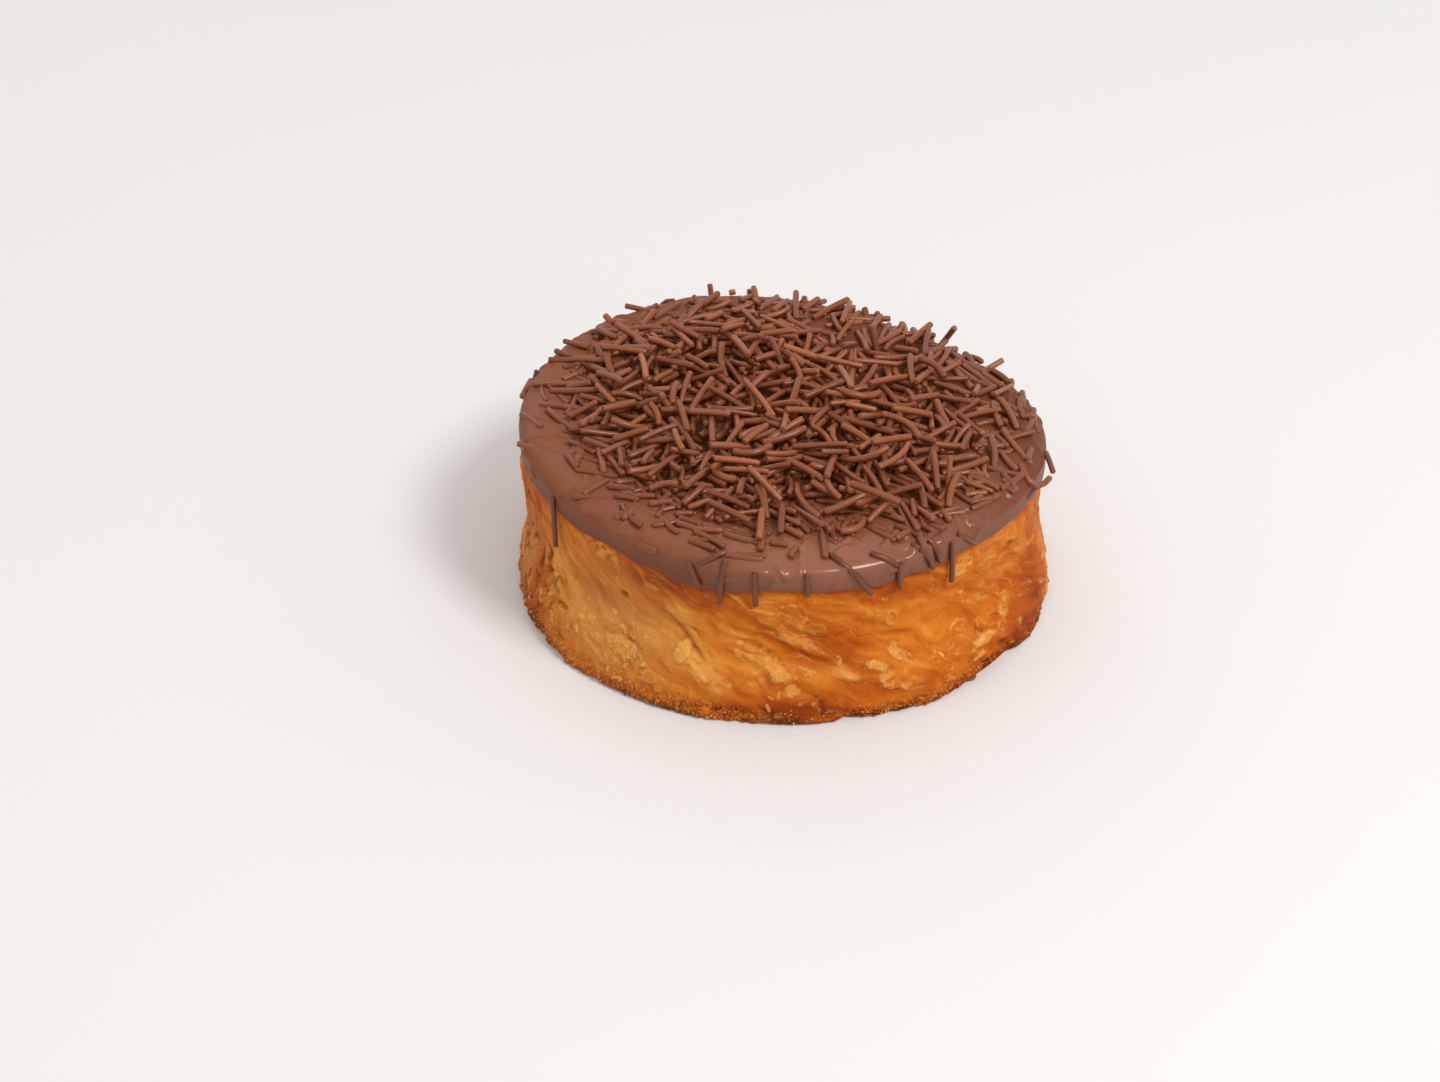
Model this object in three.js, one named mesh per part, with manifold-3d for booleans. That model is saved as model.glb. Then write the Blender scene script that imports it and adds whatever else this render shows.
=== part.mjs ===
// A round croissant roll, baked flat in a ring, with its top dipped in milk chocolate and strewn
// with chocolate sprinkles while the icing was soft. Millimetres and degrees, +Z up, +X to the
// right. The origin is the middle of the flat underside, and the front faces -Y.
import * as THREE from "three";
import { mergeVertices } from "three/addons/utils/BufferGeometryUtils.js";
import Module from "manifold-3d";

const wasm = await Module();
wasm.setup();

// What changes round the axis is a mean and its waves, each [waves round, depth, azimuth of a crest].
const pastry = {
  outline: { mean: 48.5, waves: [[2, 0.5, -90], [3, 0.45, -20], [4, 0.5, -45]] },
  height: 28.2,
  rimHeight: 1.4, // the flank is widest here, at its torn foot
  wallHeight: { mean: 14, waves: [[1, 3, -90]] }, // and from here up it is upright
  wallInset: 0.5, // how far the wall stays inside the icing's edge
  waistHeight: 11,
  waistDepth: { mean: 0.6, waves: [[1, 0.4, 180]] },
  footInset: 2, // how far the flat underside stays inside the outline
  columns: 100,
  rows: 9,
};

// Folds of the outer layer, which climb from right to left round the flank.
const folds = { count: 29, turn: 1.15, depth: 0.42, slowCount: 7, slowTurn: 0.17, slowDepth: 0.3 };

// The torn crust at the foot of the flank, and the places where a bit of it has broken away.
const crust = { height: 4.2, depth: 0.5, waves: [[41, 2.1], [67, 0.4], [23, 5.2]] };
const chips = [
  { azimuth: -43, width: 9, depth: 1.9, height: 4.5 },
  { azimuth: -77, width: 3.5, depth: 0.9, height: 3 },
  { azimuth: 58, width: 7, depth: 1.2, height: 4 },
  { azimuth: 161, width: 5, depth: 1, height: 3.5 },
];

// The icing, with a rolled edge and a short skirt down the flank.
const icing = {
  outline: { mean: 45.2, waves: [[1, 1.5, 126], [2, 0.93, -19], [3, 0.83, 7], [4, 0.63, 5]] },
  height: 30,
  rollWidth: 2.6,
  rollDrop: 1.4,
  hemHeight: { mean: 24.9, waves: [[1, 0.9, 180], [5, 0.5, -61], [13, 0.25, 10]] },
  skirtThickness: 0.65,
  columns: 72,
};
const gap = 0.3; // between the icing and the pastry that it lies on

// The level top is lifted at last: it leans, rising to the left and the back, and it is crowned.
const lift = { right: -0.032, back: 0.01, crown: 0.9, crownRadius: 43, from: 3, to: 24 };

// Sprinkles. The heap is where the shaker was aimed, and thins out towards the edge.
const sprinkles = {
  count: 222,
  seed: 4127,
  tries: 40, // of these places each sprinkle takes the one with the most room
  radius: 0.68,
  shortest: 6.6,
  longest: 10.4,
  sides: 5,
  sunk: 0.2, // how deep they lie in what is under them, in the heap
  sunkBeyond: 0.9, // and where they are few, and the soft icing has taken them in
  heap: { x: 0.8, y: 5.8, radius: 36, fade: 5, strays: 0.16 },
  overhang: 1.2, // how far one may stick out over the icing's edge
};

// Sprinkles that slid over the edge and stuck to the skirt, hanging by one end.
const hangers = [
  { azimuth: -150.6, top: 27.2, length: 9.6, slant: 6 },
  { azimuth: -110, top: 29, length: 5.4, slant: 30 },
  { azimuth: -105, top: 29, length: 7.4, slant: 4 },
  { azimuth: -97, top: 28.2, length: 5.9, slant: -2 },
  { azimuth: -85.6, top: 28, length: 4.3, slant: 0 },
  { azimuth: -74, top: 29.4, length: 7.6, slant: 34 },
  { azimuth: -66, top: 29, length: 6.4, slant: 8 },
  { azimuth: -57.5, top: 29.2, length: 5.6, slant: 24 },
  { azimuth: -51, top: 29.4, length: 8.4, slant: -3 },
  { azimuth: 24, top: 29, length: 5, slant: 14 },
  { azimuth: 71, top: 29.2, length: 6.6, slant: -12 },
  { azimuth: 118, top: 28.8, length: 5.8, slant: 20 },
];

const degree = Math.PI / 180;
const step = (from, to, value) => THREE.MathUtils.smoothstep(value, from, to);

// What a mean and its waves come to at an azimuth in radians.
function around({ mean, waves }, angle) {
  return waves.reduce((sum, [count, depth, crest]) => {
    return sum + depth * Math.cos(count * (angle - crest * degree));
  }, mean);
}

// 1 at an azimuth in degrees, and falling away over a width in degrees.
function bumpAt(angle, azimuth, width) {
  const away = THREE.MathUtils.euclideanModulo(angle / degree - azimuth + 180, 360) - 180;
  return Math.exp(-((away / width) ** 2));
}

// How far a point is lifted. The flank feels it more the higher the point lies.
function liftAt(x, y, height) {
  const crown = lift.crown * Math.max(0, 1 - (x * x + y * y) / lift.crownRadius ** 2);
  return (lift.right * x + lift.back * y + crown) * step(lift.from, lift.to, height);
}

function foldRelief(angle, height) {
  const turn = folds.count * angle + folds.turn * height + 1.3 * Math.sin(2 * angle + 0.6);
  const slow = folds.slowCount * angle + folds.slowTurn * height + 0.9;
  const strength = 0.55 + 0.45 * Math.cos(angle + 105 * degree);
  const ridge = Math.sin(turn) + 0.35 * Math.sin(2 * turn + 0.8);
  const inside = step(1, 6, height) * (1 - step(17, 23, height));
  return inside * (folds.depth * strength * ridge + folds.slowDepth * Math.sin(slow));
}

function crustRelief(angle, height) {
  const low = 1 - step(0.5 * crust.height, crust.height, height);
  const torn = crust.waves.reduce((sum, [n, phase]) => sum + Math.sin(n * angle + phase), 0);
  const chipped = chips.reduce((sum, c) => {
    const reach = 1 - step(0.6 * c.height, c.height, height);
    return sum + c.depth * reach * bumpAt(angle, c.azimuth, c.width);
  }, 0);
  return (low * crust.depth * torn) / crust.waves.length - chipped;
}

// The flank's radius at an azimuth in radians and a height.
function flankRadius(angle, height) {
  const rim = around(pastry.outline, angle);
  const waist = around(pastry.waistDepth, angle) * Math.exp(-(((height - pastry.waistHeight) / 5) ** 2));
  const wall = around(icing.outline, angle) - pastry.wallInset - waist;
  const upright = step(pastry.rimHeight, around(pastry.wallHeight, angle), height);
  return rim + (wall - rim) * upright + foldRelief(angle, height) + crustRelief(angle, height);
}

// Turns a profile of [share, level] round +Z, and sets each point at the radius and the height that
// place gives for its share, its level and its azimuth.
function turned(profile, columns, place) {
  const points = profile.map(([share, level]) => new THREE.Vector2(share, level));
  const shape = new THREE.LatheGeometry(points, columns).rotateX(Math.PI / 2);
  const position = shape.getAttribute("position");
  const point = new THREE.Vector3();
  for (let i = 0; i < position.count; i++) {
    point.fromBufferAttribute(position, i);
    const angle = Math.atan2(point.y, point.x);
    const [radius, height] = place(Math.hypot(point.x, point.y), point.z, angle);
    position.setXYZ(i, radius * Math.cos(angle), radius * Math.sin(angle), height);
  }
  return shape;
}

// Lifts every point of a shape, and shades it anew.
function lifted(geometry) {
  const position = geometry.getAttribute("position");
  for (let i = 0; i < position.count; i++) {
    const [x, y, z] = [position.getX(i), position.getY(i), position.getZ(i)];
    position.setZ(i, z + liftAt(x, y, z));
  }
  geometry.computeVertexNormals();
  return geometry;
}

function solidOf(geometry) {
  const bare = geometry.clone();
  bare.deleteAttribute("normal");
  bare.deleteAttribute("uv");
  const merged = mergeVertices(bare, 1e-4);
  const vertProperties = merged.getAttribute("position").array;
  const triVerts = new Uint32Array(merged.index.array);
  return new wasm.Manifold(new wasm.Mesh({ numProp: 3, vertProperties, triVerts }));
}

function geometryOf(solid) {
  const { vertProperties, triVerts } = solid.getMesh();
  const geometry = new THREE.BufferGeometry();
  geometry.setAttribute("position", new THREE.BufferAttribute(vertProperties, 3));
  geometry.setIndex(new THREE.BufferAttribute(triVerts, 1));
  return geometry;
}

// The flank ends in a ledge, just under the icing's hem. Above it the top of the pastry stands
// inside the icing. Levels run from 0 at the underside to 1 at the ledge and 2 at the top.
function pastryShape() {
  const { height, rimHeight, footInset, outline, rows } = pastry;
  const foot = 1 - footInset / outline.mean;
  const rim = rimHeight / icing.hemHeight.mean;
  const profile = [[0, 0], [foot, 0], [0.3 * foot + 0.7, 0.3 * rim]];
  for (let row = 0; row <= rows; row++) profile.push([1, rim + (row / rows) * (1 - rim)]);
  profile.push([1, 1.01], [1, 1.9], [0.97, 2], [0.5, 2], [0, 2]);
  const place = (share, level, angle) => {
    const ledge = around(icing.hemHeight, angle) - 2 * gap;
    const inside = around(icing.outline, angle) - icing.skirtThickness - gap;
    if (level > 1) return [share * inside, ledge + (level - 1) * (height - ledge)];
    return [share * flankRadius(angle, level * ledge), level * ledge];
  };
  return lifted(turned(profile, pastry.columns, place));
}

// The height of the icing's top over a place in the plan, or nothing outside its edge.
function icingHeight(x, y) {
  const inwards = -pastEdge(x, y);
  if (inwards < 0) return -Infinity;
  const over = Math.max(0, 1 - inwards / icing.rollWidth);
  return icing.height - icing.rollDrop * (1 - Math.sqrt(1 - over * over));
}

// Levels run from 0 at the hem to 1 at the underside, and from there they are heights.
function icingShape() {
  const { height, rollWidth, rollDrop, hemHeight, skirtThickness, outline } = icing;
  const start = 1 - rollWidth / outline.mean;
  const inner = 1 - skirtThickness / outline.mean;
  const under = pastry.height + gap;
  const roll = [90, 65, 40, 0].map((turn) => [
    start + (1 - start) * Math.sin(turn * degree),
    height - rollDrop * (1 - Math.cos(turn * degree)),
  ]);
  const skirt = [[0, 1], [0.5, 1], [inner, 1], [inner, 0], [1, 0]];
  const place = (share, level, angle) => {
    const hem = around(hemHeight, angle);
    return [share * around(outline, angle), level > 1 ? level : hem + level * (under - hem)];
  };
  return turned([...skirt, ...roll, [0, height]], icing.columns, place);
}

// Draws that come out the same each time, from 0 to 1.
function seededDraws(seed) {
  let state = seed;
  return () => {
    state = (state * 16807) % 2147483647;
    return state / 2147483647;
  };
}

// How far a place in the plan lies past the icing's edge.
function pastEdge(x, y) {
  return Math.hypot(x, y) - around(icing.outline, Math.atan2(y, x));
}

// 1 at a place in the heap, and 0 well away from it.
function inHeap(x, y) {
  const { heap } = sprinkles;
  const away = Math.hypot(x - heap.x, y - heap.y);
  return 1 - step(heap.radius - heap.fade, heap.radius + heap.fade, away);
}

// A sprinkle's place in the plan, as its middle, heading and length, with five points along it.
function landedSprinkle(draw) {
  const { shortest, longest, overhang, heap } = sprinkles;
  const reach = icing.outline.mean;
  for (;;) {
    const x = (2 * draw() - 1) * reach;
    const y = (2 * draw() - 1) * reach;
    const heading = draw() * Math.PI;
    const length = shortest + draw() * (longest - shortest);
    const points = [-0.5, -0.25, 0, 0.25, 0.5].map((share) => [
      x + share * length * Math.cos(heading),
      y + share * length * Math.sin(heading),
    ]);
    const landed = draw() < heap.strays + (1 - heap.strays) * inHeap(x, y);
    if (landed && points.every((point) => pastEdge(...point) < overhang)) {
      return { x, y, heading, length, points };
    }
  }
}

// The room that a place has among the others: the least distance between their points.
function roomAt(place, others) {
  let room = Infinity;
  for (const other of others) {
    if (Math.hypot(other.x - place.x, other.y - place.y) - sprinkles.longest > room) continue;
    for (const [x, y] of place.points) {
      for (const [u, v] of other.points) room = Math.min(room, Math.hypot(u - x, v - y));
    }
  }
  return room;
}

// The places of all the sprinkles, spread as evenly as the heap allows.
function strewnPlaces() {
  const draw = seededDraws(sprinkles.seed);
  const places = [];
  while (places.length < sprinkles.count) {
    const spots = Array.from({ length: sprinkles.tries }, () => landedSprinkle(draw));
    const rooms = spots.map((spot) => roomAt(spot, places));
    places.push(spots[rooms.indexOf(Math.max(...rooms))]);
  }
  return places;
}

// A map of heights over the top, on which each sprinkle comes to rest and which it then raises.
function heightMap(reach, cell) {
  const side = Math.ceil((2 * reach) / cell) + 1;
  const heights = new Float64Array(side * side);
  const at = (index) => index * cell - reach;
  for (let row = 0; row < side; row++) {
    for (let column = 0; column < side; column++) {
      heights[row * side + column] = icingHeight(at(column), at(row));
    }
  }
  const index = (value) => Math.min(side - 1, Math.max(0, Math.round((value + reach) / cell)));
  return {
    heightAt: (x, y) => heights[index(y) * side + index(x)],
    raise(place, height, slope, radius) {
      const across = place.length / 2 + radius;
      for (let row = index(place.y - across); row <= index(place.y + across); row++) {
        for (let column = index(place.x - across); column <= index(place.x + across); column++) {
          const [dx, dy] = [at(column) - place.x, at(row) - place.y];
          const along = dx * Math.cos(place.heading) + dy * Math.sin(place.heading);
          const aside = dy * Math.cos(place.heading) - dx * Math.sin(place.heading);
          if (Math.abs(along) > place.length / 2 || Math.abs(aside) > radius) continue;
          const top = height + slope * along + Math.sqrt(radius ** 2 - aside ** 2);
          const here = row * side + column;
          heights[here] = Math.max(heights[here], top);
        }
      }
    },
  };
}

// The height and slope at which a straight sprinkle rests: on the two supports, one to each side of
// its middle, that hold the middle highest.
function restOn(map, place, radius) {
  const stations = [];
  for (let i = -6; i <= 6; i++) {
    const along = (i / 6) * (place.length / 2);
    const support = [-0.6, 0, 0.6].map((share) => {
      const aside = share * radius;
      const x = place.x + along * Math.cos(place.heading) - aside * Math.sin(place.heading);
      const y = place.y + along * Math.sin(place.heading) + aside * Math.cos(place.heading);
      return map.heightAt(x, y) + Math.sqrt(radius ** 2 - aside ** 2);
    });
    stations.push({ along, height: Math.max(...support) });
  }
  const held = stations.filter((s) => Number.isFinite(s.height));
  let rest = { height: -Infinity, slope: 0 };
  for (const left of held.filter((s) => s.along <= 0)) {
    for (const right of held.filter((s) => s.along > 0)) {
      const slope = (right.height - left.height) / (right.along - left.along);
      const height = left.height - slope * left.along;
      if (height > rest.height) rest = { height, slope };
    }
  }
  return rest;
}

// A rod between two points, with the same cross-section area as a round one.
function rod(from, to, radius) {
  const length = from.distanceTo(to);
  const sides = sprinkles.sides;
  const fair = radius * Math.sqrt((2 * Math.PI) / (sides * Math.sin((2 * Math.PI) / sides)));
  const shape = new THREE.CylinderGeometry(fair, fair, length, sides);
  const direction = to.clone().sub(from).normalize();
  const turn = new THREE.Quaternion().setFromUnitVectors(new THREE.Vector3(0, 1, 0), direction);
  const middle = from.clone().add(to).multiplyScalar(0.5);
  return shape.applyQuaternion(turn).translate(middle.x, middle.y, middle.z);
}

function strewnRods() {
  const { radius, sunk, sunkBeyond } = sprinkles;
  const map = heightMap(icing.outline.mean + 8, 0.5);
  return strewnPlaces().flatMap((place) => {
    const { height, slope } = restOn(map, place, radius);
    if (!Number.isFinite(height)) return [];
    const lying = height - THREE.MathUtils.lerp(sunkBeyond, sunk, inHeap(place.x, place.y));
    map.raise(place, lying, slope, radius);
    const half = place.length / 2 / Math.hypot(1, slope);
    const end = (side) => new THREE.Vector3(
      place.x + side * half * Math.cos(place.heading),
      place.y + side * half * Math.sin(place.heading),
      lying + side * half * slope,
    );
    return [rod(end(-1), end(1), radius)];
  });
}

// A sprinkle stuck to the skirt by its upper end, and slanted by an angle from the upright. Its
// lower end stands clear of the flank.
function hangingRod({ azimuth, top, length, slant }) {
  const { radius } = sprinkles;
  const bottom = top - length * Math.cos(slant * degree);
  const turn = (length * Math.sin(slant * degree)) / icing.outline.mean;
  const pointAt = (angle, height, distance) => {
    const [x, y] = [distance * Math.cos(angle), distance * Math.sin(angle)];
    return new THREE.Vector3(x, y, height);
  };
  const upperAngle = azimuth * degree;
  const lowerAngle = upperAngle + turn;
  const edge = (angle) => around(icing.outline, angle) + 0.5 * radius;
  const clear = flankRadius(lowerAngle, bottom) + 1.2 * radius + 2 * gap;
  const upper = pointAt(upperAngle, top, edge(upperAngle));
  return rod(upper, pointAt(lowerAngle, bottom, Math.max(edge(lowerAngle), clear)), radius);
}

// The icing and its sprinkles as one body. Joining can leave a loose scrap or shut in a hollow, and
// both go when only the largest skin is kept.
function icedTopShape() {
  const rods = [...strewnRods(), ...hangers.map(hangingRod)];
  const joined = wasm.Manifold.union([solidOf(icingShape()), ...rods.map(solidOf)]);
  const skins = joined.decompose();
  return lifted(geometryOf(skins.reduce((a, b) => (b.volume() > a.volume() ? b : a))));
}

const bakedPastry = new THREE.MeshStandardMaterial({ color: 0xc67a34, roughness: 0.55 });
const milkChocolate = new THREE.MeshStandardMaterial({ color: 0x7d4c36, roughness: 0.42 });

function named(name, geometry, material) {
  const mesh = new THREE.Mesh(geometry, material);
  mesh.name = name;
  return mesh;
}

const croissantRoll = new THREE.Group();
croissantRoll.add(named("pastry_body", pastryShape(), bakedPastry));
croissantRoll.add(named("chocolate_icing", icedTopShape(), milkChocolate));

export default croissantRoll;
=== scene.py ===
# A round croissant roll: laminated dough baked flat in a ring, with its top dipped in milk chocolate
# and strewn with chocolate sprinkles. Shapes are worked out in millimetres, in the frame's own axes,
# and become metres where a mesh is made. The top is first worked out level and then lifted.
import math

import bpy
import numpy as np
from mathutils import Matrix, Vector


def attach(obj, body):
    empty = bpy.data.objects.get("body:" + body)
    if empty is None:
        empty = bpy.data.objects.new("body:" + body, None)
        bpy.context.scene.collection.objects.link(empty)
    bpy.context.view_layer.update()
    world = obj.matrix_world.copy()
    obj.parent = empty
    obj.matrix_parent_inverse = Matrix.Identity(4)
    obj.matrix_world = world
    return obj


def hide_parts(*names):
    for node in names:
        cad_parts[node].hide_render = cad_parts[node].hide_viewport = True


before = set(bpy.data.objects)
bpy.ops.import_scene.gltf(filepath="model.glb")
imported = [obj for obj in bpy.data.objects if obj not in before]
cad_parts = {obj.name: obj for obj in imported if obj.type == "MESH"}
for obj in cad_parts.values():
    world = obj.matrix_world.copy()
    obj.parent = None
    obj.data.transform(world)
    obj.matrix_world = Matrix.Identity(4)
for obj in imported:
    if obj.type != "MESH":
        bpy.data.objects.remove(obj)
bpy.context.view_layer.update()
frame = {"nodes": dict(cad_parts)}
print("frame loaded:", ", ".join(frame["nodes"]))

millimetre = 0.001
fullTurn = 2 * math.pi

# What changes round the axis is a mean and its waves: (waves round, depth, azimuth of a crest).
form = {
    "foot": {"mean": 48.5, "waves": [(2, 0.5, -90), (3, 0.45, -20), (4, 0.5, -45)]},
    "edge": {"mean": 45.2, "waves": [(1, 1.5, 126), (2, 0.93, -19), (3, 0.83, 7), (4, 0.63, 5)]},
    "hem": {"mean": 24.9, "waves": [(1, 0.9, 180), (5, 0.5, -61), (13, 0.25, 10)]},
    "wallHeight": {"mean": 14, "waves": [(1, 3, -90)]},
    "waist": {"mean": 0.6, "waves": [(1, 0.4, 180)]},
    "waistHeight": 11,
    "waistReach": 5,
    "rimHeight": 1.4,
    "wallInset": 0.5,
    "footInset": 2.0,
    "pastryTop": 28.2,
    "icingTop": 30.0,
    "sags": [(-72, 34, 0.5), (48, 38, 1.2)],  # where the rim sinks: azimuth, half width, depth
    "sagWidth": 12,
    "roll": (2.6, 1.4),  # how wide the icing's rounded edge is at the front, and how far it drops
    "softerRoll": (1.7, 0.9),  # how much more of both elsewhere
    "liftRight": -0.032,
    "liftBack": 0.01,
    "crown": 0.9,
    "crownRadius": 43,
    "liftFrom": 3,
    "liftTo": 24,
    "patternRadius": 47,  # patterns are read as if the flank were a cylinder of this radius
}
hashing = {
    "axes": (73856093, 19349663, 83492791),
    "seed": 26544357,
    "rounds": ((15, 0x2C1B3C6D), (12, 0x297A2D39)),
    "mask": 0x7FFFFFFF,
}


def smoothStep(low, high, value):
    share = np.clip((value - low) / (high - low), 0, 1)
    return share * share * (3 - 2 * share)


def bell(value, width):
    return np.exp(-((value / width) ** 2))


def azimuthAway(angle, azimuth):
    # degrees from an azimuth, the short way round
    return (np.degrees(angle) - azimuth + 180) % 360 - 180


def bellAt(angle, azimuth, width):
    return bell(azimuthAway(angle, azimuth), width)


def around(ring, angle):
    total = ring["mean"] + 0 * angle
    for count, depth, crest in ring["waves"]:
        total = total + depth * np.cos(count * (angle - math.radians(crest)))
    return total


def onRing(radius, angle, height):
    return np.stack([radius * np.cos(angle), radius * np.sin(angle), height + 0 * angle], axis=-1)


def lifted(points):
    x, y, z = points[..., 0], points[..., 1], points[..., 2]
    crown = form["crown"] * np.maximum(0, 1 - (x * x + y * y) / form["crownRadius"] ** 2)
    lean = form["liftRight"] * x + form["liftBack"] * y
    rise = (lean + crown) * smoothStep(form["liftFrom"], form["liftTo"], z)
    return np.stack([x, y, z + rise], axis=-1)


def hashed(cell, seed):
    # a scrambled whole number for each cell
    key = seed * hashing["seed"]
    for axis, prime in enumerate(hashing["axes"]):
        key = key ^ (cell[..., axis] * prime)
    key = key & hashing["mask"]
    for shift, factor in hashing["rounds"]:
        key = ((key ^ (key >> shift)) * factor) & hashing["mask"]
    return key ^ (key >> 15)


def noiseAt(x, y, z, seed):
    # gradient noise from about -1 to 1, one bump to each unit
    points = np.stack(np.broadcast_arrays(x, y, z), axis=-1).astype(float)
    cell = np.floor(points).astype(np.int64)
    part = points - cell
    fade = part**3 * (part * (part * 6 - 15) + 10)
    total = np.zeros(points.shape[:-1])
    for corner in np.ndindex(2, 2, 2):
        key = hashed(cell + np.array(corner), seed)
        weight = np.ones_like(total)
        slope = np.zeros_like(total)
        for axis in range(3):
            share = fade[..., axis]
            weight = weight * (share if corner[axis] else 1 - share)
            pull = ((key >> (axis * 9)) & 511) / 255.5 - 1
            slope = slope + pull * (part[..., axis] - corner[axis])
        total = total + weight * slope
    return total * 1.6


def layeredNoise(x, y, z, size, layers, seed):
    total = 0
    for layer in range(layers):
        scale = 2**layer / size
        total = total + noiseAt(x * scale, y * scale, z * scale, seed + layer) / 2**layer
    return total


class Wire:
    # a socket of a node tree: sums on it add Math nodes
    def __init__(self, web, socket):
        self.web = web
        self.socket = socket

    def __add__(self, other):
        return self.web.maths("ADD", self, other)

    def __radd__(self, other):
        return self.web.maths("ADD", other, self)

    def __sub__(self, other):
        return self.web.maths("SUBTRACT", self, other)

    def __rsub__(self, other):
        return self.web.maths("SUBTRACT", other, self)

    def __mul__(self, other):
        return self.web.maths("MULTIPLY", self, other)

    def __rmul__(self, other):
        return self.web.maths("MULTIPLY", other, self)


class Web:
    # builds a shader tree or a geometry tree
    def __init__(self, tree):
        self.tree = tree

    def node(self, kind, settings=None, sockets=None, output=0):
        made = self.tree.nodes.new(kind)
        for name, value in (settings or {}).items():
            if name == "stops":
                self.fillRamp(made.color_ramp, value)
            else:
                setattr(made, name, value)
        for key, value in (sockets or {}).items():
            socket = made.inputs[key] if isinstance(key, int) else self.socketOf(made, key)
            if isinstance(value, Wire):
                self.tree.links.new(value.socket, socket)
            else:
                socket.default_value = value
        return Wire(self, made.outputs[output]) if made.outputs else made

    def socketOf(self, made, key):
        for socket in made.inputs:
            if socket.identifier == key:
                return socket
        return made.inputs[key]

    def fillRamp(self, ramp, stops):
        while len(ramp.elements) < len(stops):
            ramp.elements.new(1)
        for element, (place, colour) in zip(ramp.elements, stops):
            element.position = place
            element.color = colourOf(colour)

    def maths(self, operation, first, second):
        return self.node("ShaderNodeMath", {"operation": operation}, {0: first, 1: second})

    def vectors(self, operation, *values):
        sockets = dict(enumerate(values))
        return self.node("ShaderNodeVectorMath", {"operation": operation}, sockets)

    def ranged(self, value, low, high, newLow=0.0, newHigh=1.0):
        sockets = {"Value": value, "From Min": low, "From Max": high}
        sockets.update({"To Min": newLow, "To Max": newHigh})
        return self.node("ShaderNodeMapRange", {"interpolation_type": "SMOOTHSTEP"}, sockets)

    def mixed(self, share, first, colour):
        # a colour mixed into another
        sockets = {"Factor_Float": share, "A_Color": first, "B_Color": colourOf(colour)}
        return self.node("ShaderNodeMix", {"data_type": "RGBA"}, sockets, output=2)

    def ramp(self, stops, value):
        return self.node("ShaderNodeValToRGB", {"stops": stops}, {"Fac": value}, "Color")

    def bumped(self, strength, distance, height):
        sockets = {"Strength": strength, "Distance": distance, "Height": height}
        return self.node("ShaderNodeBump", None, sockets, "Normal")

    def attribute(self, name):
        settings = {"attribute_name": name, "attribute_type": "GEOMETRY"}
        return self.node("ShaderNodeAttribute", settings, output="Fac")

    def place(self):
        return self.node("ShaderNodeTexCoord", output="Object")

    def along(self, axis):
        return self.node("ShaderNodeSeparateXYZ", None, {0: self.place()}, axis)

    def warped(self, vector, scale, amount):
        sockets = {"Vector": vector, "Scale": scale, "Detail": 3.0}
        noise = self.node("ShaderNodeTexNoise", None, sockets, "Color")
        centred = self.vectors("SUBTRACT", noise, (0.5, 0.5, 0.5))
        return self.vectors("MULTIPLY_ADD", centred, (amount, amount, amount), vector)

    def cells(self, vector, scale, feature, output):
        sockets = {"Vector": vector, "Scale": scale}
        return self.node("ShaderNodeTexVoronoi", {"feature": feature}, sockets, output)

    def grain(self, vector, scale, detail, roughness=0.5, distortion=0.0):
        sockets = {"Vector": vector, "Scale": scale, "Detail": detail}
        sockets.update({"Roughness": roughness, "Distortion": distortion})
        return self.node("ShaderNodeTexNoise", {"noise_dimensions": "3D"}, sockets, output="Fac")


def colourOf(colour):
    # a screen colour, 0 to 255, as the linear colour that nodes take
    def linear(value):
        value = value / 255
        return value / 12.92 if value <= 0.04045 else ((value + 0.055) / 1.055) ** 2.4

    return (*map(linear, colour), 1.0)


def newMaterial(name):
    material = bpy.data.materials.new(name)
    material.use_nodes = True
    material.node_tree.nodes.clear()
    return material, Web(material.node_tree)


def closeMaterial(web, colour, roughness, sockets):
    sockets = {"Base Color": colour, "Roughness": roughness, **sockets}
    shader = web.node("ShaderNodeBsdfPrincipled", None, sockets)
    web.node("ShaderNodeOutputMaterial", None, {"Surface": shader})


def newPiece(name, points, faces, material=None, marks=None, edges=()):
    mesh = bpy.data.meshes.new(name)
    mesh.from_pydata((points * millimetre).tolist(), edges, faces)
    for mark, values in (marks or {}).items():
        layer = mesh.attributes.new(mark, "FLOAT", "POINT")
        layer.data.foreach_set("value", np.asarray(values, dtype=np.float32).ravel())
    if material:
        mesh.materials.append(material)
    mesh.update()
    piece = bpy.data.objects.new(name, mesh)
    bpy.context.scene.collection.objects.link(piece)
    return smoothShaded(piece)


def smoothShaded(piece):
    piece.data.polygons.foreach_set("use_smooth", [True] * len(piece.data.polygons))
    return piece


def ringFaces(rows, columns):
    # faces of rings joined into a closed skin, from a lower pole out, up and in to an upper pole
    def at(row, column):
        return 1 + row * columns + column % columns

    last = 1 + rows * columns
    faces = [(0, at(0, j + 1), at(0, j)) for j in range(columns)]
    for i in range(rows - 1):
        for j in range(columns):
            faces.append((at(i, j), at(i, j + 1), at(i + 1, j + 1), at(i + 1, j)))
    faces += [(at(rows - 1, j), at(rows - 1, j + 1), last) for j in range(columns)]
    return faces


def ringPiece(name, rings, marks, material):
    # a closed skin of rings, with a mark's mean at each pole
    low, high = ([[0, 0, rings[row, :, 2].mean()]] for row in (0, -1))
    points = np.concatenate([low, rings.reshape(-1, 3), high])
    for mark, values in marks.items():
        values = np.asarray(values)
        marks[mark] = np.concatenate([[values[0].mean()], values.ravel(), [values[-1].mean()]])
    return newPiece(name, points, ringFaces(*rings.shape[:2]), material, marks)


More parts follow.
